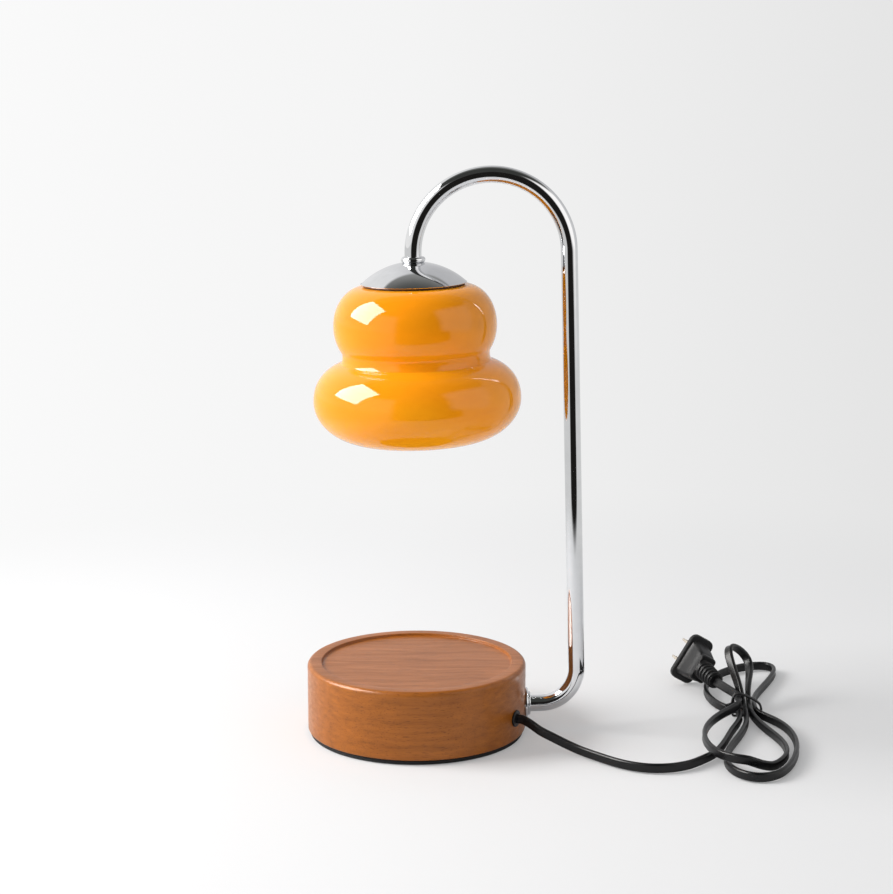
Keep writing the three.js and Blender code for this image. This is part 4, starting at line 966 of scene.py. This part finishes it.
def make_tie():
    """Coated wire twice round the strands, its ends twisted together."""
    radius, half_thick, half_wide, gap = 0.75, 1.45, 2.8, 0.3
    left = TIE.x + STRAND_PITCH * ROWS["a"][0] - half_thick - gap - radius
    right = TIE.x + STRAND_PITCH * ROWS["d"][0] + half_thick + gap + radius
    peak = TIE.x + STRAND_PITCH * ROWS["top"][0]
    bottom, shoulder = TIE.z - half_wide - radius, TIE.z + half_wide + gap + radius
    top = shoulder + CROSS_RISE
    corners = [
        (left, bottom), (right, bottom), (right, shoulder), (peak + 2.6, top - 0.6), (peak - 0.4, top),
        (left, top - 1.6),
    ]
    loop = [
        Vector((x, TIE.y - 1.4 + 1.5 * (turn + i / len(corners)), z))
        for turn in range(2) for i, (x, z) in enumerate(corners)
    ]
    knot = Vector((left - 0.2, TIE.y + 0.2, shoulder))
    twist_way = Vector((-0.55, -0.75, 0.1)).normalized()
    across = twist_way.cross(UPRIGHT).normalized()
    third = twist_way.cross(across)
    turns, reach, spread, steps = 3.0, 9.0, 0.62, 32
    ends = []
    for phase in (0, math.pi):
        angles = [phase + math.tau * turns * i / steps for i in range(steps + 1)]
        rounds = [(across * math.cos(a) + third * math.sin(a)) * spread for a in angles]
        ends.append([knot + twist_way * (reach * i / steps) + off for i, off in enumerate(rounds)])
    line = ends[0][::-1] + loop[1:] + ends[1]
    # The smoothing may swing below the table.
    rounded = smoothed(line, [UPRIGHT] * len(line), TIE_STEP)
    points = [Vector((p.x, p.y, max(p.z, radius))) * MM for p, _ in rounded]
    tie = swept("wire_tie", points, carried_frames(points), circle(radius * MM * 0.9, 10))
    return dress(tie, "tie", "stand", "black_plastic", "cord_tie")


def carried_frames(points):
    """A side direction carried along a line without twisting."""
    side = AHEAD
    made = []
    for i in range(len(points)):
        tangent = (points[min(i + 1, len(points) - 1)] - points[max(i - 1, 0)]).normalized()
        side = (side - tangent * side.dot(tangent)).normalized()
        made.append(side)
    return made


def relief_ribs(tree, given):
    """Growing rings along X."""
    start = add(tree, "ShaderNodeCombineXYZ", {"X": given["Start"]})
    pitch = add(tree, "ShaderNodeCombineXYZ", {"X": given["Pitch"]})
    line = add(tree, "GeometryNodeMeshLine", {
        "Count": given["Count"], "Start Location": start, "Offset": pitch,
    })
    ring = add(tree, CURVE_CIRCLE, {"Resolution": 40, "Radius": 1.0})
    bead = add(tree, CURVE_CIRCLE, {"Resolution": 10, "Radius": 0.16})
    torus = add(tree, CURVE_MESH, {"Curve": ring, "Profile Curve": bead})
    index = add(tree, "GeometryNodeInputIndex")
    size = {0: index, 1: given["Growth"], 2: given["Small Radius"]}
    radius = add(tree, MATH, size, operation="MULTIPLY_ADD")
    return add(tree, "GeometryNodeInstanceOnPoints", {
        "Points": line, "Instance": torus, "Rotation": (0, math.pi / 2, 0), "Scale": radius,
    })


def make_plug(cord):
    """Two-blade plug in one moulding, with a ribbed relief and a face plate."""
    matrix = plug_matrix()
    relief, step, body, plate = 19.0, 4.0, 13.0, 3.6
    at_body, at_plate = relief + step, relief + step + body
    end = at_plate + plate
    plug = lofted("plug_moulding", [
        (0.0, 8.4, 8.0, 3.8), (0.4, 9.0, 8.6, 4.1), (relief - 0.6, 10.6, 10.2, 4.6),
        (relief, 12.0, 10.4, 3.8), (relief + 0.1, 16.2, 10.6, 2.2), (relief + 0.7, 17.4, 11.4, 2.4),
        (at_body - 0.4, 17.6, 11.5, 2.4), (at_body + 0.1, 18.2, 11.8, 2.4),
        (at_body + 4, 20.4, 12.3, 2.6), (at_body + 8.5, 22.6, 12.8, 2.8),
        (at_plate - 0.9, 23.8, 13.0, 3.0), (at_plate - 0.2, 24.8, 13.8, 3.4),
        (at_plate + 0.1, 30.2, 16.4, 4.3), (at_plate + 0.6, 31.3, 17.3, 4.6),
        (end - 0.7, 31.4, 17.4, 4.6), (end - 0.15, 30.8, 16.8, 4.4), (end, 29.8, 15.8, 4.0),
    ])
    ribs = {
        "Count": cord.relief_ribs, "Start": 1.4 * MM, "Pitch": 3.6 * MM, "Small Radius": 4.6 * MM,
        "Growth": 0.18 * MM,
    }
    grown(plug, relief_ribs, ribs, "plug", matrix, crease=30)
    pieces = [dress(plug, "plug", "stand", "black_plastic", "plug_body")]

    reach, wide, thick, spacing = 17.0, 6.3, 1.5, 12.7
    for side, node in ((-1, "plug_blade_1"), (1, "plug_blade_2")):
        at = matrix @ Matrix.Translation((end * MM, side * spacing / 2 * MM, 0))
        blade = lofted(node + "_bevelled", [
            (-6.0, thick, wide, 0.3), (reach - 2.6, thick, wide, 0.3),
            (reach - 1.0, thick, wide - 0.9, 0.3), (reach - 0.2, thick - 0.5, wide - 2.2, 0.3),
            (reach, thick - 0.9, wide - 2.8, 0.25),
        ], at)
        through = at @ Matrix.Translation(((reach - 4.2) * MM, 0, 0))
        through @= Matrix.Rotation(math.pi / 2, 4, "X")
        cut(blade, rod("blade_hole", 1.6 * MM, -3 * MM, 3 * MM, 24, through))
        pieces.append(dress(blade, "nickel", "stand", "brass", node))
    return pieces


# Stage

UNLIT = (0.014, 0.013, 0.012, 1)
FOCAL_PIXELS, PICTURE_PIXELS, SENSOR = 2052, 894, 36
CAMERA_AT, CAMERA_DIP = (0.0178, -1.178, 0.4006), 10.96


def square(name, half, height=0.0):
    bm = bmesh.new()
    for x, y in ((-half, -half), (half, -half), (half, half), (-half, half)):
        bm.verts.new((x, y, height))
    bm.faces.new(bm.verts)
    return new_object(name, bm)


def facing_front(tree, parts):
    """1 where a direction points at the unlit side of the studio in front, else 0."""
    front = add(tree, MATH, {0: parts["Y"], 1: -1.0}, **TIMES)
    ahead = add(tree, MATH, {0: front, 1: 0.001}, operation="MAXIMUM")
    ratio = add(tree, MATH, {0: parts["X"], 1: ahead}, operation="DIVIDE")
    from_left = add(tree, RANGE, {0: ratio, 1: -0.62, 2: -0.40}, **SMOOTH)
    to_right = add(tree, RANGE, {0: ratio, 1: 1.05, 2: 1.35, **FALLING}, **SMOOTH)
    sides = add(tree, MATH, {0: from_left, 1: to_right}, **TIMES)
    before = add(tree, RANGE, {0: front, 1: 0.001, 2: 0.01}, **SMOOTH)
    return add(tree, MATH, {0: sides, 1: before}, **TIMES)


def pale_wall(tree, side):
    """The backdrop's colour: a little darker towards the right."""
    share = add(tree, RANGE, {0: side, 1: -0.22, 2: 0.23})
    tones = [(0, srgb("#FAFAFA")), (0.45, srgb("#F4F4F4")), (1, srgb("#E4E4E4"))]
    return add(tree, RAMP, {0: share}, tones)


class LAMP_OT_stage(bpy.types.Operator):
    """Pale floor, soft light and the camera"""

    bl_idname = "lamp.stage"
    bl_label = "Stage"

    def execute(self, context):
        self.world(context.scene)
        self.floor()
        self.lights()
        self.cards()
        data = bpy.data.cameras.new("camera")
        data.sensor_width = SENSOR
        data.lens = FOCAL_PIXELS * SENSOR / PICTURE_PIXELS
        camera = linked("camera", data)
        camera.location = CAMERA_AT
        camera.rotation_euler = (math.radians(90 - CAMERA_DIP), 0, 0)
        context.scene.camera = camera
        context.scene.view_settings.view_transform = "Standard"
        return {"FINISHED"}

    def world(self, scene):
        scene.world = bpy.data.worlds.new("pale_room")
        tree = cleared(scene.world)
        way = add(tree, PLACE).outputs["Generated"]
        parts = add(tree, PARTS, {0: way}).outputs
        side, depth, rise = (parts[axis] for axis in "XYZ")
        # What polished surfaces mirror: pale walls, a dim ceiling and the unlit side in front.
        across = add(tree, RANGE, {0: side, 1: -1.0, 2: 1.0})
        walls = add(tree, RAMP, {0: across}, [
            (0, (1.1, 1.09, 1.07, 1)), (0.36, (0.94, 0.94, 0.94, 1)), (0.58, (0.62, 0.62, 0.63, 1)),
            (0.75, (0.6, 0.6, 0.61, 1)), (1, (0.78, 0.78, 0.78, 1)),
        ])
        back = add(tree, RANGE, {0: depth, 1: -0.1, 2: 0.75}, **SMOOTH)
        dusk = [(0, (0.085, 0.088, 0.082, 1)), (1, (0.44, 0.44, 0.43, 1))]
        ceiling = add(tree, RAMP, {0: back}, dusk)
        # The walls reach higher at the back and on the left.
        level = add(tree, VECTOR, {0: way, 1: (1, 1, 0)}, **TIMES)
        heading = add(tree, VECTOR, {0: level}, operation="NORMALIZE")
        lifted = add(tree, VECTOR, {0: heading, 1: (-0.045, 0.17, 0)}, operation="DOT_PRODUCT")
        above = add(tree, MATH, {0: rise, 1: lifted}, operation="SUBTRACT")
        high = add(tree, RANGE, {0: above, 1: 0.66, 2: 0.72}, **SMOOTH)
        room = add(tree, MIX, {0: high, 6: walls, 7: ceiling}, **COLOURS)
        # Overhead it is dim in front of the lamp, and lower down the front is unlit.
        overhead = add(tree, RANGE, {0: rise, 1: 0.5, 2: 0.62}, **SMOOTH)
        before = add(tree, RANGE, {0: depth, 1: -0.1, 2: 0.0, **FALLING}, **SMOOTH)
        dim = add(tree, MATH, {0: before, 1: overhead}, **TIMES)
        dimmed = add(tree, MIX, {0: dim, 6: room, 7: (0.05, 0.052, 0.048, 1)}, **COLOURS)
        lower = add(tree, RANGE, {0: rise, 1: 0.5, 2: 0.62, **FALLING}, **SMOOTH)
        front = add(tree, MATH, {0: facing_front(tree, parts), 1: lower}, **TIMES)
        mirrored = add(tree, MIX, {0: front, 6: dimmed, 7: UNLIT}, **COLOURS)
        soft = add(tree, RANGE, {0: side, 1: -1.0, 2: 1.0, 3: 0.80, 4: 0.37})
        shown = add(tree, BACKGROUND, {"Color": (0.98, 0.985, 1.0, 1), "Strength": soft})
        polished = add(tree, BACKGROUND, {"Color": mirrored, "Strength": 1.0})
        backdrop = add(tree, BACKGROUND, {"Color": pale_wall(tree, side), "Strength": 1.0})
        ray = add(tree, RAYS).outputs
        for kind, seen in (("Glossy", polished), ("Transmission", polished), ("Camera", backdrop)):
            shown = add(tree, BLEND, {0: ray[f"Is {kind} Ray"], 1: shown, 2: seen})
        add(tree, "ShaderNodeOutputWorld", {"Surface": shown})

    def floor(self):
        """A white table: matt near the lamp, and further off as the wall and the room have it."""
        floor = square("floor", 9, -0.3 * MM)
        material = bpy.data.materials.new("pale_table")
        floor.data.materials.append(material)
        tree = cleared(material)
        place = add(tree, PLACE).outputs["Object"]
        parts = add(tree, PARTS, {0: place}).outputs
        # The sideways share of the direction from 1.2 m in front, as the wall's gradient has it.
        reach = add(tree, VECTOR, {0: place, 1: (0, -1.2, 0)}, operation="DISTANCE")
        divisor = add(tree, MATH, {0: reach, 1: 0.4}, operation="MAXIMUM")
        side = add(tree, MATH, {0: parts["X"], 1: divisor}, operation="DIVIDE")
        shown = add(tree, "ShaderNodeBsdfDiffuse", {"Color": (0.74, 0.74, 0.74, 1)})
        wall = add(tree, GLOW, {"Color": pale_wall(tree, side), "Strength": 1.0})
        pale = add(tree, GLOW, {"Color": (0.80, 0.80, 0.79, 1), "Strength": 1.0})
        dark = add(tree, GLOW, {"Color": UNLIT, "Strength": 1.0})
        radius = add(tree, VECTOR, {0: place, 1: (0.08, 0, 0)}, operation="DISTANCE")
        faded = add(tree, RANGE, {0: radius, 1: 0.28, 2: 0.7, 3: 0.25, 4: 1.0}, **SMOOTH)
        distant = add(tree, RANGE, {0: radius, 1: 0.3, 2: 0.6}, **SMOOTH)
        beyond = add(tree, RANGE, {0: parts["Y"], 1: -0.56, 2: -0.42, **FALLING}, **SMOOTH)
        unlit = add(tree, MATH, {0: beyond, 1: facing_front(tree, parts)}, **TIMES)
        ray = add(tree, RAYS).outputs
        for share, kind, seen in (
            (faded, "Camera", wall), (distant, "Glossy", pale), (unlit, "Glossy", dark),
        ):
            part = add(tree, MATH, {0: share, 1: ray[f"Is {kind} Ray"]}, **TIMES)
            shown = add(tree, BLEND, {0: part, 1: shown, 2: seen})
        add(tree, OUTPUT, {"Surface": shown})

    def lights(self):
        for name, place, size, power, target in (
            ("key", (-1.35, -0.08, 1.0), 0.9, 36.0, (0, 0, 0.12)),
            ("fill", (1.2, -0.9, 1.3), 1.4, 2.0, (0.05, 0, 0.1)),
        ):
            data = bpy.data.lights.new(name, "AREA")
            data.shape = "SQUARE"
            data.size = size
            data.energy = power
            lamp = linked(name, data)
            lamp.location = place
            lamp.rotation_euler = (Vector(target) - Vector(place)).to_track_quat("-Z", "Y").to_euler()
            lamp.visible_glossy = False

    def cards(self):
        """A softbox and a window that only polished surfaces show. edge is their soft border."""
        for name, place, half, turn, edge, strength, tint in (
            ("softbox", (-1.155, -0.11, 0.97), 0.51, 10, 0.03, 19.0, (1, 0.99, 0.97, 1)),
            ("window", (1.25, -0.62, 0.82), 0.90, 8, 0.40, 1.35, (1, 0.98, 0.96, 1)),
        ):
            card = square(name, half)
            aim = (Vector((0, 0, 0.22)) - Vector(place)).to_track_quat("Z", "Y").to_matrix().to_4x4()
            spin = Matrix.Rotation(math.radians(turn), 4, "Z")
            card.matrix_world = Matrix.Translation(place) @ aim @ spin
            material = bpy.data.materials.new(name + "_cloth")
            card.data.materials.append(material)
            tree = cleared(material)
            parts = add(tree, PARTS, {0: add(tree, PLACE).outputs["Object"]}).outputs
            seen = 1.0
            for axis in "XY":
                off = add(tree, MATH, {0: parts[axis]}, operation="ABSOLUTE")
                within = add(tree, RANGE, {0: off, 1: half - edge, 2: half, **FALLING}, **SMOOTH)
                seen = add(tree, MATH, {0: within, 1: seen}, **TIMES)
            clear = add(tree, "ShaderNodeBsdfTransparent")
            glow = add(tree, GLOW, {"Color": tint, "Strength": strength})
            add(tree, OUTPUT, {"Surface": add(tree, BLEND, {0: seen, 1: clear, 2: glow})})
            card.visible_camera = False
            card.visible_diffuse = False
            card.visible_shadow = False
            card.visible_transmission = False


class LAMP_PT_panel(bpy.types.Panel):
    """The lamp's pieces and sizes"""

    bl_idname = "LAMP_PT_panel"
    bl_label = "Candle warmer lamp"
    bl_space_type = "VIEW_3D"
    bl_region_type = "UI"
    bl_category = "Lamp"

    def draw(self, context):
        for name in GROUPS:
            box = self.layout.box()
            for field in getattr(context.scene, name).__annotations__:
                box.prop(getattr(context.scene, name), field)
        for operator in OPERATORS:
            self.layout.operator(operator.bl_idname)


GROUPS = {
    "lamp_base": BaseSizes, "lamp_arm": ArmSizes, "lamp_head": HeadSizes,
    "lamp_cord": CordSizes, "lamp_finishes": Finishes,
}
OPERATORS = (
    LAMP_OT_stage, LAMP_OT_cord, LAMP_OT_base, LAMP_OT_arm, LAMP_OT_cap, LAMP_OT_shade, LAMP_OT_fittings,
)
CLASSES = (*GROUPS.values(), *OPERATORS, LAMP_PT_panel)


def register():
    for cls in CLASSES:
        bpy.utils.register_class(cls)
    for name, group in GROUPS.items():
        setattr(bpy.types.Scene, name, PointerProperty(type=group))


def unregister():
    for name in GROUPS:
        delattr(bpy.types.Scene, name)
    for cls in reversed(CLASSES):
        bpy.utils.unregister_class(cls)


def main():
    register()
    make_finishes()
    for operator in OPERATORS:
        group, call = operator.bl_idname.split(".")
        getattr(getattr(bpy.ops, group), call)()


if __name__ == "__main__":
    main()
